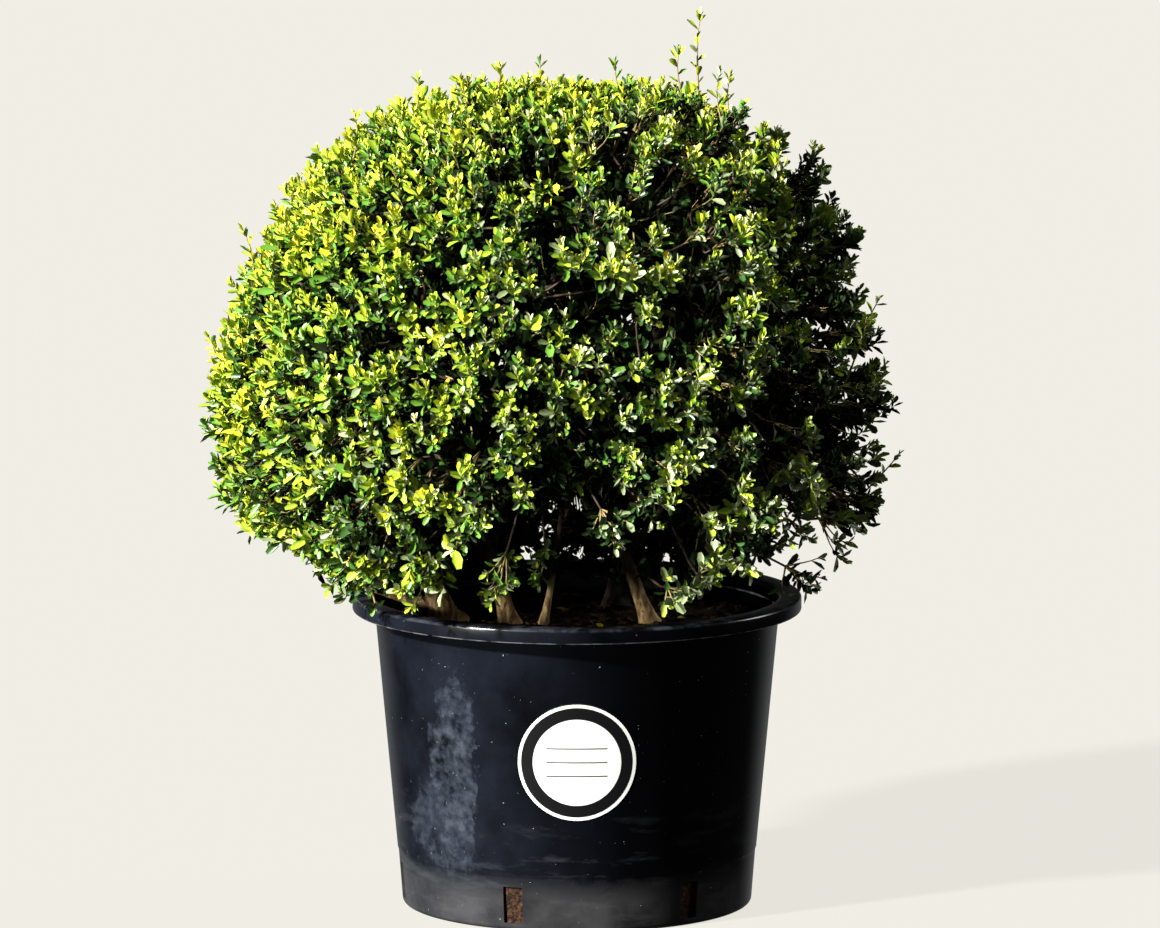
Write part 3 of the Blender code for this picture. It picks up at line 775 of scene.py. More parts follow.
def bark_relief(turn, along, radius, key):
    """How far the bark stands out at a place on a limb, as a share of its radius."""
    round_x, round_y = math.cos(turn), math.sin(turn)
    ridge = noise.noise(Vector((round_x * 2.2, round_y * 2.2, along * 28 + key)))
    flake = noise.noise(Vector((round_x * 4.5, round_y * 4.5, along * 260 + key)))
    knob = noise.noise(Vector((round_x * 0.8, round_y * 0.8, along * 42 - key)))
    return RIDGE_DEPTH * ridge + FLAKE_DEPTH * flake + KNOB_DEPTH * knob


def limb(path, radii, sides, key, foot=False):
    """A closed tapering limb: a ring of edges is extruded from point to point and set round the path."""
    bm = bmesh.new()
    turns = bm.verts.layers.float.new("turn")
    bmesh.ops.create_circle(bm, cap_ends=True, segments=sides, radius=1.0)
    for vert in bm.verts:
        vert[turns] = math.atan2(vert.co.y, vert.co.x)
    ring = bm.edges[:]
    fresh = bm.verts[:]
    side = Vector((0.0, 1.0, 0.0))
    travelled = 0.0
    for index, (point, radius) in enumerate(zip(path, radii)):
        point = Vector(point)
        before = Vector(path[max(index - 1, 0)])
        after = Vector(path[min(index + 1, len(path) - 1)])
        along = (after - before).normalized()
        side = (side - along * side.dot(along)).normalized()
        across = along.cross(side)
        travelled += (point - before).length
        if index:
            grown = bmesh.ops.extrude_edge_only(bm, edges=ring)["geom"]
            ring = [item for item in grown if isinstance(item, bmesh.types.BMEdge)]
            fresh = [item for item in grown if isinstance(item, bmesh.types.BMVert)]
            ring = [edge for edge in ring if edge.verts[0] in set(fresh) and edge.verts[1] in set(fresh)]
        for vert in fresh:
            turn = vert[turns]
            reach = radius * (1 + bark_relief(turn, travelled, radius, key))
            if foot:
                lobes = 1 - LOBE_DEPTH * (1 - math.cos(FLARE_LOBES * turn))
                reach += radius * FLARE * lobes * math.exp(-travelled / FLARE_HEIGHT)
            vert.co = point + (side * math.cos(turn) + across * math.sin(turn)) * reach
    bmesh.ops.contextual_create(bm, geom=ring)
    bmesh.ops.recalc_face_normals(bm, faces=bm.faces)
    return bm


# %% [markdown]
# Bark on young holly is thin: tan and fibrous at the foot, where it flakes, and dark grey-brown and whole
# higher up, with a little green algae. The bright tan at the foot is partly painted sunlight, and the dark
# bark higher up partly painted shade under the crown. The patches group gives all three, at different sizes.

# %% The bark's colours
# Painted light and shade: the bright tan bark below these heights is partly painted sunlight, and the dark bark above
# partly painted shade under the crown
BARE_AND_LIT_BELOW = (0.312, 0.342)
BARE_AND_SUNLIT_BARK = ((0.34, 0.200, 0.090), (1.00, 0.700, 0.330))
WHOLE_AND_SHADED_BARK = ((0.018, 0.012, 0.009), (0.085, 0.060, 0.042))


def bark(name, bare):
    """Bark that is bare and tan near the foot, as far as bare says, and whole above; the bright foot is partly painted
    sunlight and the dark bark above partly painted shade.
    """
    made, tree, shader = blank_material(name, 0.85, specular=0.25)
    place = node(tree, "ShaderNodeTexCoord").outputs["Object"]
    stretched = node(tree, "ShaderNodeMapping", {"Scale": (1.0, 1.0, 0.35)}, {"Vector": place}).outputs[0]
    flaked = use_group(tree, patches, {"Scale": 150.0, "Detail": 7.0, "Low": 0.42, "High": 0.60}, {"Vector": stretched})
    cracks = use_group(tree, patches, {"Scale": 420.0, "Detail": 4.0, "Low": 0.56, "High": 0.70}, {"Vector": stretched})
    algae = use_group(tree, patches, {"Scale": 34.0, "Detail": 5.0, "Low": 0.56, "High": 0.74}, {"Vector": place})
    height = node(tree, "ShaderNodeSeparateXYZ", feeds={0: place}).outputs["Z"]
    above = node(
        tree, "ShaderNodeMapRange", {"From Min": BARE_AND_LIT_BELOW[0], "From Max": BARE_AND_LIT_BELOW[1]}, {"Value": height},
    ).outputs["Result"]
    colour = blend_colours(tree, flaked, *(bare or WHOLE_AND_SHADED_BARK))
    whole = blend_colours(tree, flaked, *WHOLE_AND_SHADED_BARK)
    # Above the foot the bark turns dark, partly as painted shade of the crown
    colour = blend_colours(tree, above, colour, whole)
    colour = blend_colours(tree, times(tree, algae, 0.6), colour, (0.16, 0.16, 0.11))
    colour = blend_colours(tree, times(tree, cracks, 0.8), colour, (0.045, 0.028, 0.018))
    tree.links.new(colour, shader.inputs["Base Color"])
    bump = node(tree, "ShaderNodeBump", {"Strength": 0.6, "Distance": 0.0015}, {"Height": flaked})
    tree.links.new(bump.outputs["Normal"], shader.inputs["Normal"])
    return made


# %% Grow the stems and boughs
holly_bark = bark("holly_bark", BARE_AND_SUNLIT_BARK)
shaded_bark = bark("shaded_bark", None)
for number, (name, (_, _, foot_radius, fork_radius)) in enumerate(STEMS.items()):
    shares = np.linspace(0, 1, STEM_RINGS)
    path = [stem_at(name, share) for share in shares]
    radii = foot_radius + (fork_radius - foot_radius) * shares
    shape = limb(path, radii, STEM_SIDES, number * 7.3, foot=True)
    finish = shaded_bark if "back" in name else holly_bark
    dress(object_from(name + "_bark", shape, finish), "bark", name)

for number, (name, (_, _, _, _, root_radius)) in enumerate(BOUGHS.items()):
    shares = np.linspace(0, 1, BOUGH_RINGS)
    path = smooth_curves(*bough_ends(name), shares)
    radii = root_radius + (BOUGH_TIP_RADIUS - root_radius) * shares
    shape = limb(path, radii, BOUGH_SIDES, 50 + number * 5.1)
    dress(object_from(name + "_bark", shape, holly_bark), "bark", name)
print(len(STEMS), "stems and", len(BOUGHS), "boughs")

# %% [markdown]
# ## The crown
#
# A clipped holly is a thin shell of short, leafy shoots on an open tree of bare twigs. Clipping makes every
# cut twig fork, so the shoots stand close and end at one surface. The crown is grown the same way: shoot
# tips are spread evenly over the clipped surface, neighbours are gathered under a shared twig, the twigs
# under a branch, and the branches under the bough that carries the mass. So every leaf can be followed back
# to a stem. Noise over the surface gives the clumps, and a few real hollows are named by their direction.

# %% Where the shoots end
OUTER_SHOOTS = 7600
INNER_SHOOTS = 3700
LEAF_TURN = math.radians(137.5)
TIP_SHARE = 0.975
FLAT_TOP = 0.821
FLAT_SCATTER = 0.005
VIEW_TILT = math.radians(8.5)
RIGHT_RELIEF = 0.060
RIGHT_CLUMP_SIZE = 6.0
TIP_SCATTER = 0.026
CLUMP_SIZE = 13.0
CLUMP_DEPTH = 0.050
FURTHEST = 1.035
INNER_SHARE = (0.58, 0.84)
INNER_THINNED = 0.4
SKIRT_SHOOTS = 760
SKIRT_AZIMUTH = (25, 205)
SKIRT_OUT = (0.12, 0.25)
SKIRT_HEIGHT = (0.306, 0.375)
WAY_JITTER = 0.016
UPWARDS = np.array((0.0, 0.0, 1.0))
# Azimuth, elevation and half width of each hollow in degrees, and its depth as a share of the reach
HOLLOWS = (
    (267, 53, 7, 0.20),
    (338, 28, 12, 0.16),
    (318, 8, 8, 0.12),
    (280, -3, 13, 0.18),
    (296, 20, 6, 0.12),
    (245, 22, 5, 0.10),
    (160, 20, 8, 0.12),
    (60, 40, 9, 0.12),
    (95, 10, 8, 0.10),
)
# Azimuth, elevation and half width of each thin place in degrees, and the share of shoots missing there
THIN_PLACES = (
    (330, -26, 20, 0.60),
    (8, -32, 24, 0.50),
    (280, -6, 15, 0.85),
    (275, -25, 13, 0.92),
    (300, 4, 8, 0.35),
    (250, -28, 12, 0.60),
)
# No shoot ends below these: where the underside starts to rise, its height there and its rise per metre
LEFT_UNDERSIDE = (-0.220, 0.316, 0.60)
RIGHT_UNDERSIDE = (0.165, 0.350, 0.50)
RIGHT_HIGHEST = 0.380
UNDERSIDE_TILT = 0.14
# Gaps seen through the arch: place across, place up in the camera's view, and half width
SKY_GAPS = (
    (0.009, 0.478, 0.010),
    (0.005, 0.458, 0.007),
    (-0.027, 0.396, 0.010),
    (0.001, 0.400, 0.010),
    (-0.035, 0.370, 0.014),
    (0.001, 0.350, 0.012),
    (-0.019, 0.350, 0.011),
    (-0.047, 0.346, 0.010),
    (0.063, 0.378, 0.012),
    (0.065, 0.354, 0.011),
    (0.141, 0.365, 0.015),
    (0.143, 0.345, 0.010),
    (-0.095, 0.386, 0.007),
    (-0.071, 0.410, 0.007),
    (0.093, 0.346, 0.010),
    (0.025, 0.345, 0.010),
    (0.042, 0.352, 0.010),
    (0.196, 0.338, 0.018),
    (0.227, 0.418, 0.013),
    (0.213, 0.397, 0.014),
    (0.235, 0.387, 0.010),
    (0.258, 0.377, 0.010),
    (0.223, 0.362, 0.015),
    (0.229, 0.346, 0.013),
    (0.268, 0.402, 0.010),
    (0.175, 0.380, 0.009),
    (0.273, 0.432, 0.009),
    (0.285, 0.452, 0.009),
    (0.253, 0.412, 0.009),
    (0.205, 0.372, 0.012),
    (0.189, 0.352, 0.012),
    (0.241, 0.366, 0.012),
)
GAPS_BEHIND = -0.18
LEFT_IN_GAP = 0.12


def near_places(ways, places):
    """For each way, the largest amount that any of the places asks of it, fading out round the place."""
    most = np.zeros(len(ways))
    for azimuth, elevation, half_width, amount in places:
        middle = direction(math.radians(azimuth), math.radians(elevation))
        apart = np.degrees(np.arccos(np.clip(ways @ middle, -1, 1)))
        most = np.maximum(most, amount * np.exp(-((apart / half_width) ** 2)))
    return most


def spread_directions(count, thinned):
    """Directions spread along a spiral over the ball, above its open bottom, with fewer in the thin places."""
    index = np.arange(count)
    height = 1 - 2 * (index + 0.5) / count
    ways = unit(direction(index * LEAF_TURN, np.arcsin(height)) + rng.normal(0, WAY_JITTER, (count, 3)))
    ways = ways[ways[:, 2] > math.sin(LOWEST)]
    ways = ways[rng.random(len(ways)) > thinned * near_places(ways, THIN_PLACES)]
    return lift_over_arch(ways)


def noise_over(ways, size, key):
    return np.array([noise.noise(Vector(way) * size + Vector((key, 0.0, 0.0))) for way in ways])


def seen_height(spots):
    """How high up a spot is in the camera's view."""
    return spots[..., 2] * math.cos(VIEW_TILT) + spots[..., 1] * math.sin(VIEW_TILT)


def outer_shares(ways):
    """How far out each shoot ends, as a share of the crown's reach."""
    share = TIP_SHARE + CLUMP_DEPTH * noise_over(ways, CLUMP_SIZE, 4.0)
    share += rng.normal(0, TIP_SCATTER, len(ways)) - near_places(ways, HOLLOWS)
    share += RIGHT_RELIEF * np.clip(ways[:, 0] * 2, 0, 1) * noise_over(ways, RIGHT_CLUMP_SIZE, 9.0)
    flat = FLAT_TOP + rng.normal(0, FLAT_SCATTER, len(ways)) - seen_height(CROWN_CENTRE)
    flat = flat / np.maximum(seen_height(ways) * crown_reach(ways), 0.01)
    return np.minimum(np.minimum(share, FURTHEST), flat)


def skirt_places():
    """Tips of the lowest shoots, which hang round the back of the ball down to the pot's rim."""
    azimuth = np.radians(rng.uniform(*SKIRT_AZIMUTH, SKIRT_SHOOTS))
    out = rng.uniform(*SKIRT_OUT, SKIRT_SHOOTS)
    height = rng.uniform(*SKIRT_HEIGHT, SKIRT_SHOOTS)
    return np.stack((CROWN_CENTRE[0] + out * np.cos(azimuth), out * np.sin(azimuth), height), axis=-1)


def over_underside(spots):
    """Which tips are above the lines that the ball's underside follows on the left and on the right."""
    edge, height, rise = LEFT_UNDERSIDE
    left_limit = height + rise * np.maximum(edge - spots[:, 0], 0)
    edge, height, rise = RIGHT_UNDERSIDE
    right_limit = np.minimum(height + rise * (spots[:, 0] - edge), RIGHT_HIGHEST)
    level = spots[:, 2] + UNDERSIDE_TILT * spots[:, 1]
    return ((spots[:, 0] > -0.100) | (level > left_limit)) & ((spots[:, 0] < edge) | (level > right_limit))


outer_ways = spread_directions(OUTER_SHOOTS, 1.0)
inner_ways = spread_directions(INNER_SHOOTS, INNER_THINNED)
skirt_offsets = skirt_places() - CROWN_CENTRE
skirt_ways = unit(skirt_offsets)
tip_ways = np.concatenate((outer_ways, inner_ways, skirt_ways))
skirt_shares = np.linalg.norm(skirt_offsets, axis=1) / crown_reach(skirt_ways)
inner_shares = rng.uniform(*INNER_SHARE, len(inner_ways))
tip_shares = np.concatenate((outer_shares(outer_ways), inner_shares, skirt_shares))
is_inner = np.arange(len(tip_ways)) >= len(outer_ways)
tips = on_crown(tip_ways, tip_shares)
kept = over_underside(tips)
tips, tip_ways, is_inner = tips[kept], tip_ways[kept], is_inner[kept]
mass_ways = np.array([mass_direction(name) for name in MASSES])
mass_of_tip = (tip_ways @ mass_ways.T).argmax(axis=1)
print(len(tips), "shoot tips in", len(MASSES), "masses")

# %% [markdown]
# Neighbouring tips are gathered by the simplest rule that works: start with a few of the tips as middles,
# give every tip to its nearest middle, move each middle to the average of its tips, and repeat.

# %% Gather tips under twigs, and twigs under branches
BRANCHES_IN_MASS = 10
SHOOTS_ON_TWIG = 6
BRANCH_SHARE = 0.68
TWIG_SHARE = 0.82
ROUNDS = 6


def gathered(points, count):
    """Each point's own group, and the middle of each group."""
    middles = points[rng.choice(len(points), count, replace=False)]
    for _ in range(ROUNDS):
        group_of = ((points[:, None] - middles[None]) ** 2).sum(axis=2).argmin(axis=1)
        for index in range(count):
            if (group_of == index).any():
                middles[index] = points[group_of == index].mean(axis=0)
    return group_of, middles


def toward(points, share):
    """The points under these on a smaller crown."""
    return on_crown(unit(points - CROWN_CENTRE), np.full(len(points), share))


# %% [markdown]
# Twigs are thin tapering tubes with three to six sides. Thousands of them are made at once: the arrays hold
# every path and every radius, and each ring of points is set square to its path.

# %% Tubes for many twigs at once
def tubes(paths, radii, sides):
    """Closed tapering tubes, from paths (count, rings, 3) and radii (count, rings)."""
    count, rings, _ = paths.shape
    along = unit(np.gradient(paths, axis=1))
    upright = np.abs(along[:, :1, 2:]) > 0.9
    helper = np.where(upright, np.array((1.0, 0.0, 0.0)), UPWARDS)
    side = unit(np.cross(along, helper))
    across = np.cross(along, side)
    turn = np.arange(sides) * math.tau / sides
    ring = side[:, :, None] * np.cos(turn)[:, None] + across[:, :, None] * np.sin(turn)[:, None]
    points = paths[:, :, None] + ring * radii[:, :, None, None]
    corners = np.arange(rings * sides).reshape(rings, sides)
    low, high = corners[:-1], corners[1:]
    low_next, high_next = np.roll(low, -1, axis=1), np.roll(high, -1, axis=1)
    walls = np.concatenate((
        np.stack((low, low_next, high_next), axis=-1).reshape(-1, 3),
        np.stack((low, high_next, high), axis=-1).reshape(-1, 3),
    ))
    fan = np.arange(1, sides - 1)
    first = np.stack((np.zeros_like(fan), fan + 1, fan), axis=-1)
    last = np.stack((np.zeros_like(fan), fan, fan + 1), axis=-1) + (rings - 1) * sides
    shape = np.concatenate((walls, first, last))
    return points.reshape(-1, 3), repeated(shape, count, rings * sides)


def joined(shapes):
    """Several sets of points and triangles as one."""
    points, triangles, so_far = [], [], 0
    for shape_points, shape_triangles in shapes:
        points.append(shape_points)
        triangles.append(shape_triangles + so_far)
        so_far += len(shape_points)
    return np.concatenate(points), np.concatenate(triangles)


def stepped(count, steps):
    """Places from 0 to 1 along each of many curves."""
    return np.tile(np.linspace(0, 1, steps), (count, 1))


def taper(count, steps, first, last):
    return np.tile(np.linspace(first, last, steps), (count, 1))


# %% [markdown]
# ## The leaf
#
# Ilex crenata has small, thick, blunt oval leaves, 10 to 18 mm long and half as wide, which sit alternately
# round the shoot and crowd together at its tip. One leaf is seven triangles in its own outline, with the
# midrib sunk and the blunt tip turned down. Its copies are placed by arrays: each has a root, a direction
# and an upper side that faces the shoot's tip.

# %% One leaf, and many
LEAF_STATIONS = ((0.27, 0.140, 0.075), (0.60, 0.205, 0.105), (0.93, 0.095, 0.005))
MIDRIB = (0.55, 0.0, -0.045)


def leaf_shape():
    """A leaf of length one along x, with its upper side towards z."""
    left = list(LEAF_STATIONS)
    right = [(x, -half, rise) for x, half, rise in reversed(LEAF_STATIONS)]
    outline = [(0.0, 0.0, 0.0)] + left + right
    around = len(outline)
    triangles = [(around, (index + 1) % around, index) for index in range(around)]
    return np.array(outline + [MIDRIB]), np.array(triangles)


LEAF_POINTS, LEAF_TRIANGLES = leaf_shape()


def leaves(roots, ways, uppers, lengths, widths):
    """Copies of the leaf as joined points and triangles."""
    across = np.cross(uppers, ways)
    shape = (
        LEAF_POINTS[None, :, 0, None] * ways[:, None]
        + LEAF_POINTS[None, :, 1, None] * (across * widths[:, None])[:, None]
        + LEAF_POINTS[None, :, 2, None] * uppers[:, None]
    )
    points = roots[:, None] + shape * lengths[:, None, None]
    return points.reshape(-1, 3), repeated(LEAF_TRIANGLES, len(roots), len(LEAF_POINTS))


# %% [markdown]
# A shoot bends upwards to the light and carries a dozen leaves. The youngest, at the tip, are small, bright
# and nearly upright, and the oldest, inside, are large, dark and spread wide; the furthest back take a
# near-black tint that is painted shade. What colour a leaf has is dealt out by spray: each twig's shoots share
# a mood, from new lime growth to old dark green, brighter on the sunny side partly as painted sunlight, and a
# leaf's place on its shoot then picks the tint.

# %% Leaves along shoots
LEAF_BACK = np.array((0.0, 1.6, 3.6, 6.0, 9.0, 12.4, 16.2, 20.4, 25.0, 30.5, 36.5, 43.5)) / 1000
LEAF_SPREAD = np.radians((10, 25, 32, 37, 41, 44, 47, 50, 52, 54, 56, 58))
LEAF_LENGTH = np.array((7.5, 10, 12, 13.5, 14.5, 15, 15, 15, 15, 14.5, 14.5, 14)) / 1000
LENGTH_SCATTER = 0.17
SPREAD_SCATTER = (0.75, 1.25)
LEAF_ROLL = math.radians(24)
SHOOT_RINGS = 5
SHOOT_RADIUS = 0.0012
SHOOT_TIP_RADIUS = 0.0005

TINTS = ("dark", "deep", "green", "sage", "fresh", "lime", "pale", "gold")
PAINTED_SHADE, DEEP, GREEN, SAGE_AND_SHEEN, FRESH, LIME, PALE_SHEEN, GOLD = range(len(TINTS))
# The near-black tint at the back of each mood is painted shade for leaves deep in the crown
MOODS = np.array((
    (GREEN, DEEP, DEEP, DEEP) + (PAINTED_SHADE,) * 8,
    (GREEN, GREEN, GREEN, DEEP, DEEP, DEEP) + (PAINTED_SHADE,) * 6,
    (FRESH, FRESH, GREEN, GREEN, GREEN, GREEN, DEEP, DEEP) + (PAINTED_SHADE,) * 4,
    (LIME, FRESH, FRESH, FRESH, GREEN, GREEN, GREEN, DEEP, DEEP) + (PAINTED_SHADE,) * 3,
    (LIME, LIME, LIME, FRESH, FRESH, FRESH, GREEN, GREEN, GREEN, DEEP, PAINTED_SHADE, PAINTED_SHADE),
    (GOLD, LIME, LIME, LIME, LIME, FRESH, FRESH, FRESH, GREEN, GREEN, PAINTED_SHADE, PAINTED_SHADE),
))


def turned_about(vectors, axes, angle):
    """Vectors square to their axes, turned about them."""
    return vectors * np.cos(angle)[..., None] + np.cross(axes, vectors) * np.sin(angle)[..., None]


def leaves_along(curve, back, spread, length, tint, size):
    """Root, direction, upper side, length, width and tint of each leaf on many shoots at once."""
    starts, _, _, ends = curve
    count = len(starts)
    reach = np.linalg.norm(ends - starts, axis=1)[:, None]
    places = np.clip(1 - back[None] * size[:, None] / reach, 0.02, 1)
    spots = smooth_curves(*curve, places)
    along = unit(spots - smooth_curves(*curve, places - 0.02))
    turn = rng.uniform(0, math.tau, count)[:, None] + np.arange(len(back)) * LEAF_TURN
    turn = turn + rng.normal(0, 0.25, turn.shape)
    square = unit(np.cross(along, np.array((0.81, 0.57, 0.13))))
    out = turned_about(square, along, turn)
    angle = spread[None] * rng.uniform(*SPREAD_SCATTER, turn.shape)
    ways = along * np.cos(angle)[..., None] + out * np.sin(angle)[..., None]
    uppers = unit(np.cross(ways, np.cross(along, out)))
    uppers = turned_about(uppers, ways, rng.normal(0, LEAF_ROLL, turn.shape))
    lengths = length[None] * size[:, None] * rng.normal(1, LENGTH_SCATTER, turn.shape)
    widths = rng.uniform(0.85, 1.15, turn.shape)
    return [array.reshape(-1, *array.shape[2:]) for array in (spots, ways, uppers, lengths, widths, tint)]


# %% [markdown]
# The leaf colours are plain colours, one for each tint, with a gloss. Ilex leaves are thick and let little
# light through, so the lime of new growth is in the colour itself. The near-black tint is painted shade, sage
# is a grey-green partly painted as sky sheen, and pale is lime with a painted sky sheen.

# %% Leaf and twig colours
LEAF_FINISH = {
    # Near-black painted shade, for leaves deep inside the crown
    "dark": plain("leaf_painted_shade", (0.005, 0.010, 0.002), 0.60, specular=0.10),
    "deep": plain("leaf_deep", (0.026, 0.080, 0.013), 0.36, specular=0.50),
    "green": plain("leaf_green", (0.108, 0.256, 0.028), 0.36, specular=0.48),
    # A grey-green, partly a painted sky sheen on green leaves
    "sage": plain("leaf_sage_and_sheen", (0.215, 0.280, 0.136), 0.36, specular=0.55),
    "fresh": plain("leaf_fresh", (0.320, 0.450, 0.034), 0.38, specular=0.38),
    "lime": plain("leaf_lime", (0.510, 0.560, 0.036), 0.42, specular=0.32),
    # Lime with a painted sky sheen
    "pale": plain("leaf_pale_sheen", (0.500, 0.575, 0.310), 0.42, specular=0.45),
    "gold": plain("leaf_gold", (0.760, 0.610, 0.034), 0.45, specular=0.30),
}
LEAF_SLOT = {
    "dark": "leaf_deep", "deep": "leaf_deep", "green": "leaf_green", "sage": "leaf_green", "fresh": "leaf_fresh",
    "lime": "leaf_tip", "pale": "leaf_tip", "gold": "leaf_tip",
}
twig_bark = plain("twig_bark", (0.070, 0.046, 0.032), 0.65, specular=0.25)
young_bark = plain("young_bark", (0.280, 0.215, 0.090), 0.55, specular=0.3)

# %% [markdown]
# Nothing may stand in the pot's wall or sink into the mix, so leaves that would are left out, as a gardener
# would pull them clear. The back of the ball is thin behind the arch, and sky shows through in small gaps.

# %% Keep leaves clear of the pot and out of the gaps
CLEAR_OF_POT = 0.003
OPEN_SIDE = unit(np.array((0.85, -0.35, -0.10)))
# Painted sheen: greyer, sheen-tinted leaves are dealt out most towards this side, low in front and on the right
GREY_SHEEN_SIDE = unit(np.array((0.75, -0.45, -0.50)))
GREYER_SHEEN = (-0.30, 1.05)


def clear_of_pot(roots, ways, lengths):
    """Which leaves keep clear of the rim and of the potting mix."""
    clear = np.ones(len(roots), bool)
    for share in (0.0, 0.5, 1.0):
        spot = roots + ways * (lengths * share)[:, None]
        from_axis = np.hypot(spot[:, 0], spot[:, 1])
        over_rim = from_axis < RIM_RADIUS + CLEAR_OF_POT
        in_pot = from_axis < TOP_RADIUS - WALL - CLEAR_OF_POT
        clear &= ~(over_rim & ~in_pot & (spot[:, 2] < POT_HEIGHT + CLEAR_OF_POT))
        clear &= ~(in_pot & (spot[:, 2] < SOIL_LEVEL + CLEAR_OF_POT))
    return clear


def out_of_gaps(roots, ways, lengths):
    """Which leaves leave the sky free in the gaps behind the arch. A few stay in each."""
    middles = roots + ways * (lengths * 0.5)[:, None]
    up = seen_height(middles)
    in_gap = np.zeros(len(roots), bool)
    for across, height, half_width in SKY_GAPS:
        in_gap |= np.hypot(middles[:, 0] - across, up - height) < half_width
    return ~in_gap | (middles[:, 1] < GAPS_BEHIND) | (rng.random(len(roots)) < LEFT_IN_GAP)


def towards(side, ends, spots):
    """A share for each spot on the ball that runs between two ends, the second one on the side named."""
    share = 0.5 + 0.5 * unit(spots - CROWN_CENTRE) @ side
    return np.clip(ends[0] + (ends[1] - ends[0]) * share, 0, 1)


def greyed_for_sheen(tints, spots):
    """Swaps some green leaves for sage and lime ones for pale, as painted sky sheen, most of them low in front and on
    the right.
    """
    swapped = rng.random(len(tints)) < towards(GREY_SHEEN_SIDE, GREYER_SHEEN, spots)
    for tint, greyer in ((GREEN, SAGE_AND_SHEEN), (LIME, PALE_SHEEN)):
        tints = np.where(swapped & (tints == tint), greyer, tints)
    return tints


def add_foliage(name, wood, shoots, parts, *nodes):
    """Pieces of twigs, of young shoots and of leaves in each tint. Returns how many leaves there are."""
    spots, ways, uppers, lengths, widths, tints = parts
    tints = greyed_for_sheen(tints, spots)
    if wood:
        dress(mesh_of(name + "_twigs", *wood, twig_bark), "twig", *nodes)
    dress(mesh_of(name + "_shoots", *shoots, young_bark), "twig", *nodes)
    keep = clear_of_pot(spots, ways, lengths) & out_of_gaps(spots, ways, lengths)
    for index, tint in enumerate(TINTS):
        chosen = keep & (tints == index)
        if chosen.any():
            shape = leaves(spots[chosen], ways[chosen], uppers[chosen], lengths[chosen], widths[chosen])
            dress(mesh_of(f"{name}_leaves_{tint}", *shape, LEAF_FINISH[tint]), LEAF_SLOT[tint], *nodes)
    return int(keep.sum())


# %% Grow the masses
BRANCH_RADIUS = 0.0032
BRANCH_TIP_RADIUS = 0.0017
TWIG_TIP_RADIUS = 0.0010
BRANCH_RINGS = 8
TWIG_RINGS = 6
OUTWARDS_PULL = 0.50
UPWARDS_PULL = 1.10
CLUMP_PULL = (0.05, 0.42)
MISSING_TWIGS = (-0.16, 0.38)
PROUD_TWIGS = (0.0, 0.18)
PROUD_BY = 0.038
LESS_UP_BELOW = 2.0
LEAN_SCATTER = 0.28
SUNNY = unit(np.array((-0.50, -0.30, 0.80)))
MOOD_SIZE = 34.0
MOOD_NOISE = 0.9
# How much brighter the moods are on the sunny side, partly as painted sunlight
MOOD_SUN_AND_PAINTED_LIGHT = 0.31
MOOD_SCATTER = 0.20
MOOD_EDGES = (-0.42, -0.20, -0.03, 0.16, 0.54)
LARGE_BELOW = 0.38


def moods_of(own_ways, twig_of, twig_middles, inner):
    """A mood for each shoot: shared by its twig, brighter on the sunny side, partly as painted sunlight, and old
    inside.
    """
    shared = noise_over(unit(twig_middles - CROWN_CENTRE), MOOD_SIZE, 2.0)[twig_of] * MOOD_NOISE
    score = shared + MOOD_SUN_AND_PAINTED_LIGHT * (own_ways @ SUNNY) + rng.normal(0, MOOD_SCATTER, len(own_ways))
    return np.where(inner, 0, np.digitize(score, MOOD_EDGES))


def clumped(own_tips, own_ways, inner, twig_of, twig_middles):
    """Draws the shoots of a twig together, drops some twigs and lets others stand out, most on the open side."""
    pull = np.where(inner, 0, towards(OPEN_SIDE, CLUMP_PULL, twig_middles)[twig_of])[:, None]
    own_tips = own_tips + (twig_middles[twig_of] - own_tips) * pull
    chance = rng.random((2, len(twig_middles)))
    proud = chance[0] < towards(OPEN_SIDE, PROUD_TWIGS, twig_middles)
    proud = 1 + PROUD_BY * (proud & (seen_height(twig_middles) < FLAT_TOP - CROWN_RADIUS * PROUD_BY))
    own_tips = CROWN_CENTRE + (own_tips - CROWN_CENTRE) * proud[twig_of][:, None]
    missing = chance[1] < towards(OPEN_SIDE, MISSING_TWIGS, twig_middles)
    kept = ~missing[twig_of] | inner
    return own_tips[kept], own_ways[kept], inner[kept], twig_of[kept]


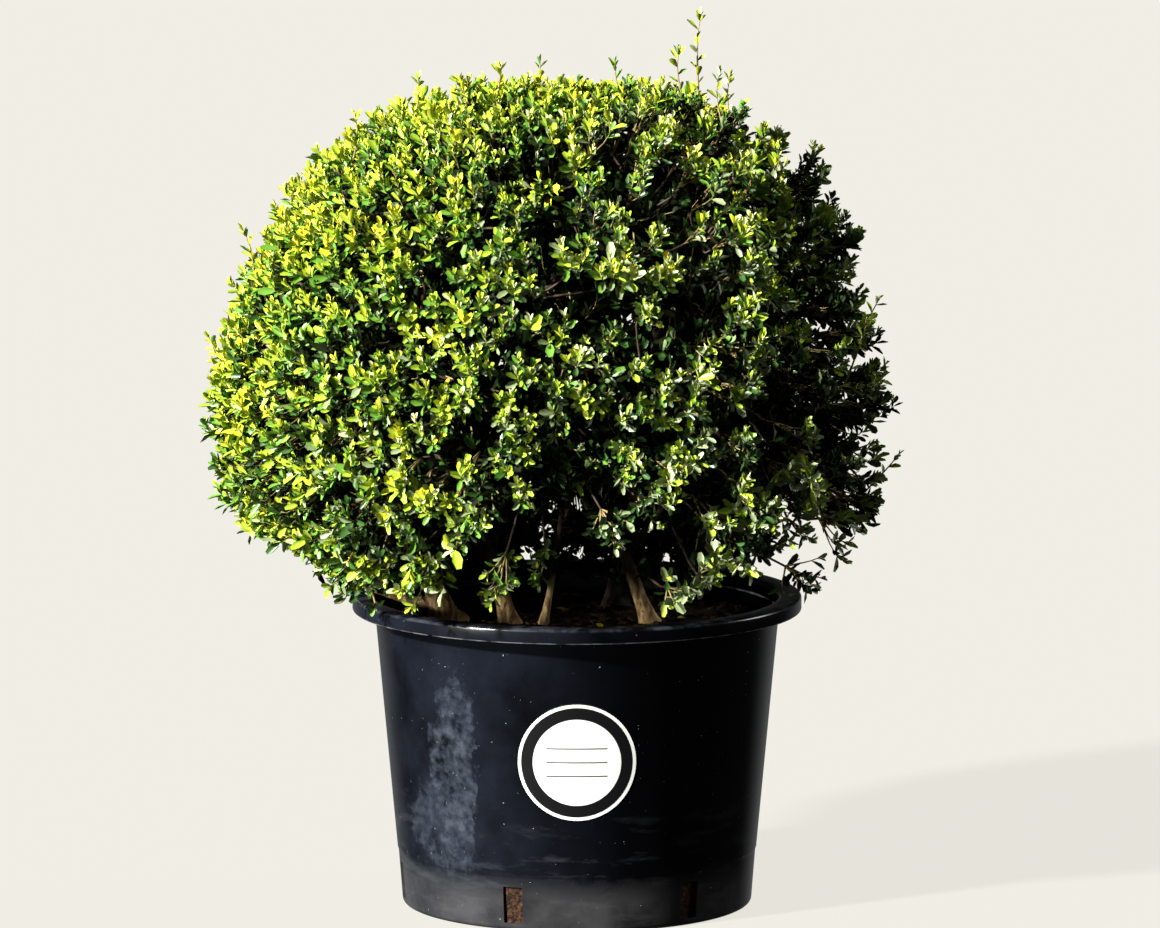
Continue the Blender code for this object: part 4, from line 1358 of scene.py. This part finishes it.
def grow_mass(number, name):
    """All twigs and leaves of one mass: branches from its bough, twigs on them, shoots on those."""
    own = mass_of_tip == number
    own_tips, own_ways, inner = tips[own], tip_ways[own], is_inner[own]
    bough = next(bough for bough, facts in BOUGHS.items() if facts[1] == name)
    hub = bough_ends(bough)[3]
    twig_count = len(own_tips) // SHOOTS_ON_TWIG
    twig_of, twig_middles = gathered(own_tips, twig_count)
    own_tips, own_ways, inner, twig_of = clumped(own_tips, own_ways, inner, twig_of, twig_middles)
    branch_of, branch_middles = gathered(twig_middles, BRANCHES_IN_MASS)
    branch_ends = toward(branch_middles, BRANCH_SHARE)
    twig_ends = toward(twig_middles, TWIG_SHARE)

    hubs = np.repeat(hub[None], BRANCHES_IN_MASS, axis=0)
    lead = mass_direction(name) + 0.6 * unit(branch_ends - hubs)
    branch_paths = smooth_curves(
        hubs, lead, branch_ends - CROWN_CENTRE, branch_ends, stepped(BRANCHES_IN_MASS, BRANCH_RINGS),
    )
    roots = branch_ends[branch_of]
    twig_paths = smooth_curves(
        roots, roots - CROWN_CENTRE, twig_ends - CROWN_CENTRE, twig_ends, stepped(twig_count, TWIG_RINGS),
    )
    starts = twig_ends[twig_of]
    starts = np.where(inner[:, None], roots[twig_of], starts)
    leads = unit(starts - CROWN_CENTRE) + 0.8 * unit(own_tips - starts)
    up_pull = UPWARDS_PULL * np.clip(1 + LESS_UP_BELOW * own_ways[:, 2], 0.05, 1)
    arrive = own_ways * OUTWARDS_PULL + UPWARDS * up_pull[:, None]
    arrive = unit(arrive + rng.normal(0, LEAN_SCATTER, own_ways.shape))
    moods = moods_of(own_ways, twig_of, twig_middles, inner)
    size = rng.uniform(0.66, 1.10, len(own_tips)) + LARGE_BELOW * np.clip(-own_ways[:, 2], 0, 1)
    size = np.where(inner, 1.25, size)
    ends = own_tips - arrive * (LEAF_LENGTH[0] * size)[:, None]
    curve = (starts, leads, arrive, ends)
    parts = leaves_along(curve, LEAF_BACK, LEAF_SPREAD, LEAF_LENGTH, MOODS[moods], size)
    shoot_paths = smooth_curves(*curve, stepped(len(own_tips), SHOOT_RINGS))
    twig_paths = twig_paths[np.unique(twig_of[~inner])]
    wood = joined([
        tubes(branch_paths, taper(BRANCHES_IN_MASS, BRANCH_RINGS, BRANCH_RADIUS, BRANCH_TIP_RADIUS), 6),
        tubes(twig_paths, taper(len(twig_paths), TWIG_RINGS, BRANCH_TIP_RADIUS, TWIG_TIP_RADIUS), 4),
    ])
    shoots = tubes(shoot_paths, taper(len(own_tips), SHOOT_RINGS, SHOOT_RADIUS, SHOOT_TIP_RADIUS), 3)
    return wood, shoots, parts


total_leaves = 0
for number, name in enumerate(MASSES):
    total_leaves += add_foliage(name, *grow_mass(number, name), name)
print(total_leaves, "leaves on the masses")

# %% [markdown]
# ## Shoots that stand out
#
# Since its last clipping the plant has sent up a few long shoots, the tallest of them well above the ball.
# Each leaves the ball on a curve that bends upwards, and has small leaves all the way, in turn round it.

# %% Long shoots
LONG_SHOOTS = (
    (0.124, -0.020, 0.904),
    (0.102, -0.030, 0.868),
    (0.142, -0.060, 0.848),
    (0.153, -0.050, 0.844),
    (0.303, -0.090, 0.628),
    (0.326, -0.020, 0.461),
    (-0.372, -0.020, 0.580),
    (-0.366, 0.040, 0.420),
    (-0.077, -0.030, 0.852),
    (0.039, -0.020, 0.855),
    (-0.222, -0.060, 0.808),
    (-0.159, -0.050, 0.843),
    (-0.335, -0.040, 0.690),
    (-0.037, 0.000, 0.855),
    (0.120, 0.180, 0.790),
    (-0.250, 0.210, 0.640),
    (0.200, 0.250, 0.560),
    (-0.040, 0.325, 0.600),
)
LONG_START = 0.80
LONG_DROP = 0.12
LONG_RINGS = 9
LONG_RADIUS = 0.0016
LONG_TIP_RADIUS = 0.0006
LONG_LEAF_STEP = 0.0075
LONG_LEAF_LENGTH = 0.0135
LONG_LEAF_SPREAD = math.radians(52)
LONG_TIP_LEAVES = 4


def long_shoot(tip):
    """One long shoot: its tube, and leaves from its tip back to the ball."""
    tip = np.array(tip)
    way = unit(tip - CROWN_CENTRE - UPWARDS * LONG_DROP)
    rise = unit(way + UPWARDS * 1.5)
    start = CROWN_CENTRE + way * crown_reach(way) * LONG_START
    tip = tip - rise * LEAF_LENGTH[0]
    curve = tuple(array[None] for array in (start, way, rise, tip))
    stretch = np.linalg.norm(tip - start)
    back = np.arange(0, stretch * 0.9, LONG_LEAF_STEP)
    back = np.concatenate((LEAF_BACK[:LONG_TIP_LEAVES], back[1:]))
    young = np.minimum(np.arange(len(back)) / LONG_TIP_LEAVES, 1)
    spread = young * (LONG_LEAF_SPREAD - LEAF_SPREAD[0]) + LEAF_SPREAD[0]
    length = young * (LONG_LEAF_LENGTH - LEAF_LENGTH[0]) + LEAF_LENGTH[0]
    tint = rng.choice((LIME, FRESH, GREEN), len(back), p=(0.4, 0.4, 0.2))
    parts = leaves_along(curve, back, spread, length, tint[None], np.ones(1))
    paths = smooth_curves(*curve, stepped(1, LONG_RINGS))
    return tubes(paths, taper(1, LONG_RINGS, LONG_RADIUS, LONG_TIP_RADIUS), 5), parts


def leaves_of(grown):
    """The leaves of several shoots or sprays as one set, from lists whose last item is each one's leaves."""
    return [np.concatenate(arrays) for arrays in zip(*(item[-1] for item in grown))]


grown = [long_shoot(tip) for tip in LONG_SHOOTS]
stems = joined([tube for tube, _ in grown])
print(add_foliage("long_shoots", None, stems, leaves_of(grown)), "leaves on", len(LONG_SHOOTS), "long shoots")

# %% [markdown]
# ## Low sprays in the arch
#
# Under the arch in front the ball is open, and a few sprays grow straight from the stems and boughs there,
# down to the rim. Their places are read from the photograph. Each has a thin twig from the nearest limb and
# a handful of shoots, with larger, darker leaves than the sunny surface has.

# %% Grow the low sprays
# Place of the spray's middle, its mood, the size of its leaves and how many shoots it has
LOW_SPRAYS = (
    ((-0.153, -0.250, 0.453), 3, 1.15, 5),
    ((-0.153, -0.250, 0.424), 3, 1.30, 5),
    ((-0.165, -0.240, 0.385), 3, 1.10, 5),
    ((-0.158, -0.230, 0.363), 4, 1.15, 5),
    ((-0.078, -0.235, 0.363), 4, 1.10, 6),
    ((-0.070, -0.220, 0.362), 3, 1.05, 3),
    ((-0.028, -0.220, 0.362), 3, 1.20, 4),
    ((0.038, -0.300, 0.423), 2, 1.25, 9),
    ((0.080, -0.290, 0.438), 2, 1.10, 5),
    ((0.060, -0.275, 0.487), 4, 1.10, 5),
    ((0.105, -0.270, 0.480), 4, 1.10, 5),
    ((0.164, -0.225, 0.420), 4, 1.30, 6),
    ((0.155, -0.225, 0.389), 4, 1.30, 5),
    ((0.095, -0.220, 0.356), 3, 1.15, 6),
    ((0.125, -0.216, 0.358), 3, 1.15, 6),
    ((0.143, -0.215, 0.372), 3, 1.25, 4),
    ((-0.200, -0.130, 0.345), 3, 1.10, 5),
    ((0.185, -0.235, 0.428), 4, 1.25, 5),
    ((0.215, -0.215, 0.405), 3, 1.25, 5),
    ((0.240, -0.185, 0.430), 4, 1.15, 5),
    ((0.255, -0.160, 0.395), 3, 1.20, 4),
    ((0.225, -0.220, 0.470), 4, 1.15, 5),
    ((-0.225, -0.090, 0.335), 3, 1.10, 5),
    ((0.236, -0.040, 0.335), 1, 1.25, 8),
    ((-0.020, -0.060, 0.420), 0, 1.20, 5),
    ((0.010, 0.080, 0.360), 0, 1.30, 5),
    ((-0.060, 0.120, 0.350), 0, 1.30, 5),
    ((0.090, 0.110, 0.365), 0, 1.30, 5),
    ((0.050, 0.030, 0.335), 0, 1.30, 5),
    ((-0.180, 0.040, 0.345), 0, 1.30, 5),
)
SPRAY_WIDTH = 0.012
SPRAY_SPREAD = 1.35
SPRAY_SIZE = 0.86
SPRAY_LEAVES = 8
SPRAY_HUB_BACK = 0.030
SPRAY_OUTWARDS = 1.0
SPRAY_UPWARDS = 0.7
SPRAY_TWIG_RADIUS = 0.0016
LIMB_STEPS = 24


def limb_spots():
    """Points down every stem and bough, for the low sprays to grow from."""
    shares = np.linspace(0.15, 1, LIMB_STEPS)
    spots = [stem_at(name, share) for name in STEMS for share in shares]
    for name in BOUGHS:
        spots += list(smooth_curves(*bough_ends(name), shares))
    return np.array(spots)


def low_spray(middle, mood, size, count, spots):
    """A twig from the nearest limb, and shoots that spread from its end."""
    middle = np.array(middle)
    root = spots[np.linalg.norm(spots - middle, axis=1).argmin()]
    out = unit(middle - root + UPWARDS * 0.02)
    hub = middle - out * SPRAY_HUB_BACK
    ends = middle + rng.normal(0, SPRAY_WIDTH, (count, 3))
    starts = np.repeat(hub[None], count, axis=0)
    arrive = unit(ends - starts) + SPRAY_OUTWARDS * unit(middle * (1, 1, 0)) + SPRAY_UPWARDS * UPWARDS
    curve = (starts, ends - starts, arrive, ends)
    moods = np.clip(mood + rng.integers(-1, 1, count), 0, len(MOODS) - 1)
    sizes = np.full(count, size * SPRAY_SIZE)
    few = slice(SPRAY_LEAVES)
    spread = LEAF_SPREAD[few] * SPRAY_SPREAD
    parts = leaves_along(curve, LEAF_BACK[few], spread, LEAF_LENGTH[few], MOODS[moods][:, few], sizes)
    twig_path = smooth_curves(root[None], out[None] + UPWARDS * 0.3, out[None], hub[None], stepped(1, TWIG_RINGS))
    wood = tubes(twig_path, taper(1, TWIG_RINGS, SPRAY_TWIG_RADIUS, SHOOT_RADIUS), 5)
    shoots = tubes(
        smooth_curves(*curve, stepped(count, SHOOT_RINGS)),
        taper(count, SHOOT_RINGS, SHOOT_RADIUS, SHOOT_TIP_RADIUS), 3,
    )
    return wood, shoots, parts


spots = limb_spots()
grown = [low_spray(*facts, spots) for facts in LOW_SPRAYS]
wood, stems = (joined([item[index] for item in grown]) for index in range(2))
print(add_foliage("low_sprays", wood, stems, leaves_of(grown)), "leaves on", len(LOW_SPRAYS), "low sprays")

# %% [markdown]
# A few old leaves have dropped and lie yellow on the mix, the nearest of them at the foot of the front stems.

# %% Drop a few leaves
FALLEN = 5
FALLEN_NEAR = ((-0.137, -0.046), (-0.096, -0.052), (-0.080, -0.050), (0.020, -0.060))
FALLEN_LENGTH = (0.013, 0.018)
FALLEN_ABOVE = 0.0045


def fallen_leaves():
    radius, turn = rng.uniform(0.03, 0.16, FALLEN), rng.uniform(0, math.tau, FALLEN)
    places = np.concatenate((FALLEN_NEAR, np.stack((radius * np.cos(turn), radius * np.sin(turn)), axis=-1)))
    roots = np.array([(x, y, soil_level(x, y) + FALLEN_ABOVE) for x, y in places])
    ways, _, uppers = random_axes(len(roots), 0.12)
    lengths = rng.uniform(*FALLEN_LENGTH, len(roots))
    return leaves(roots, ways, uppers, lengths, rng.uniform(0.9, 1.1, len(roots)))


dress(mesh_of("fallen_leaves", *fallen_leaves(), LEAF_FINISH["gold"]), "leaf_tip")
print(FALLEN + len(FALLEN_NEAR), "fallen leaves")

# %% [markdown]
# ## Light, floor and camera
#
# The floor is one plain pale sheet. A warm sun stands high on the left and in front, so that the left and
# the top of the ball are bright and its right side falls into shade, and a weak pale sky fills the rest.
# The floor is left out of reflections and of bounced light, as a studio would keep it from washing out a
# black pot. Beyond its edge the camera sees the same pale backdrop. The camera looks from the front, a
# little from above, through a long lens.

# %% Light and floor
FLOOR_SIZE = 60.0
floor_bm = bmesh.new()
bmesh.ops.create_grid(floor_bm, x_segments=1, y_segments=1, size=FLOOR_SIZE / 2)
paper, _, shader = blank_material("pale_floor", 0.9, specular=0.0)
shader.inputs["Base Color"].default_value = (0.045, 0.0445, 0.0425, 1.0)
shader.inputs["Emission Color"].default_value = (0.778, 0.764, 0.699, 1.0)
shader.inputs["Emission Strength"].default_value = 1.0
floor = object_from("floor", floor_bm, paper)
floor.visible_diffuse = False
floor.visible_glossy = False


def add_sun(name, comes_from, energy, angle, colour):
    data = bpy.data.lights.new(name, "SUN")
    data.energy = energy
    data.angle = math.radians(angle)
    data.color = colour
    made = bpy.data.objects.new(name, data)
    made.rotation_euler = Vector(comes_from).to_track_quat("Z", "Y").to_euler()
    bpy.context.scene.collection.objects.link(made)


add_sun("sun", (-0.73, -0.54, 0.49), 12.8, 4, (1.0, 0.97, 0.90))
add_sun("low_light", (-0.80, -0.58, 0.12), 1.8, 8, (1.0, 0.97, 0.90))
add_sun("back_light", (0.90, 0.30, 0.32), 1.0, 20, (1.0, 0.98, 0.94))

# The sky is brightest low behind the plant and under it, paler on the left, and nearly dark on the right
world = bpy.data.worlds.new("studio")
world.use_nodes = True
sky = world.node_tree
way = node(sky, "ShaderNodeTexCoord").outputs["Generated"]
axes = node(sky, "ShaderNodeSeparateXYZ", feeds={0: way})
behind = times(sky, ramp(sky, axes.outputs["Y"], 0.70, 0.98), ramp(sky, axes.outputs["Z"], 0.12, -0.02))
leftness = node(
    sky, "ShaderNodeVectorMath", {1: (-0.88, -0.45, 0.15)}, {0: way}, operation="DOT_PRODUCT",
).outputs["Value"]
strength = None
for value, start, full, amount in (
    (leftness, 0.2, 0.8, 0.08), (behind, 0.0, 1.0, 0.20), (axes.outputs["Z"], -0.75, -0.95, 0.20),
    (axes.outputs["Z"], 0.4, 0.9, 0.05),
):
    part = node(
        sky, "ShaderNodeMapRange", {"From Min": start, "From Max": full, "To Min": 0.0, "To Max": amount},
        {"Value": value},
    ).outputs["Result"]
    if strength is None:
        strength = node(sky, "ShaderNodeMath", {1: 0.010}, {0: part}, operation="ADD").outputs[0]
    else:
        strength = node(sky, "ShaderNodeMath", feeds={0: strength, 1: part}, operation="ADD").outputs[0]
sky.nodes["Background"].inputs["Color"].default_value = (0.94, 0.96, 0.96, 1.0)
sky.links.new(strength, sky.nodes["Background"].inputs["Strength"])
backdrop = node(sky, "ShaderNodeBackground")
backdrop.inputs["Color"].default_value = (0.880, 0.855, 0.768, 1.0)
seen = node(sky, "ShaderNodeLightPath").outputs["Is Camera Ray"]
either = node(sky, "ShaderNodeMixShader", feeds={0: seen, 1: sky.nodes["Background"].outputs[0]})
sky.links.new(backdrop.outputs[0], either.inputs[2])
sky.links.new(either.outputs[0], sky.nodes["World Output"].inputs["Surface"])
bpy.context.scene.world = world
bpy.context.scene.view_settings.view_transform = "Standard"

# %% Camera
FRAME_WIDTH = 1.160
SENSOR = 36.0
CAMERA_AWAY = 10.0
CAMERA_ABOVE = math.radians(8.5)
LOOK_AT = Vector((0.003, 0.0, 0.443))

camera_data = bpy.data.cameras.new("camera")
camera_data.sensor_width = SENSOR
camera_data.lens = SENSOR * CAMERA_AWAY / FRAME_WIDTH
camera_data.clip_end = 100.0
camera = bpy.data.objects.new("camera", camera_data)
back = Vector((0.0, -math.cos(CAMERA_ABOVE), math.sin(CAMERA_ABOVE)))
camera.location = LOOK_AT + back * CAMERA_AWAY
camera.rotation_euler = back.to_track_quat("Z", "Y").to_euler()
bpy.context.scene.collection.objects.link(camera)
bpy.context.scene.camera = camera
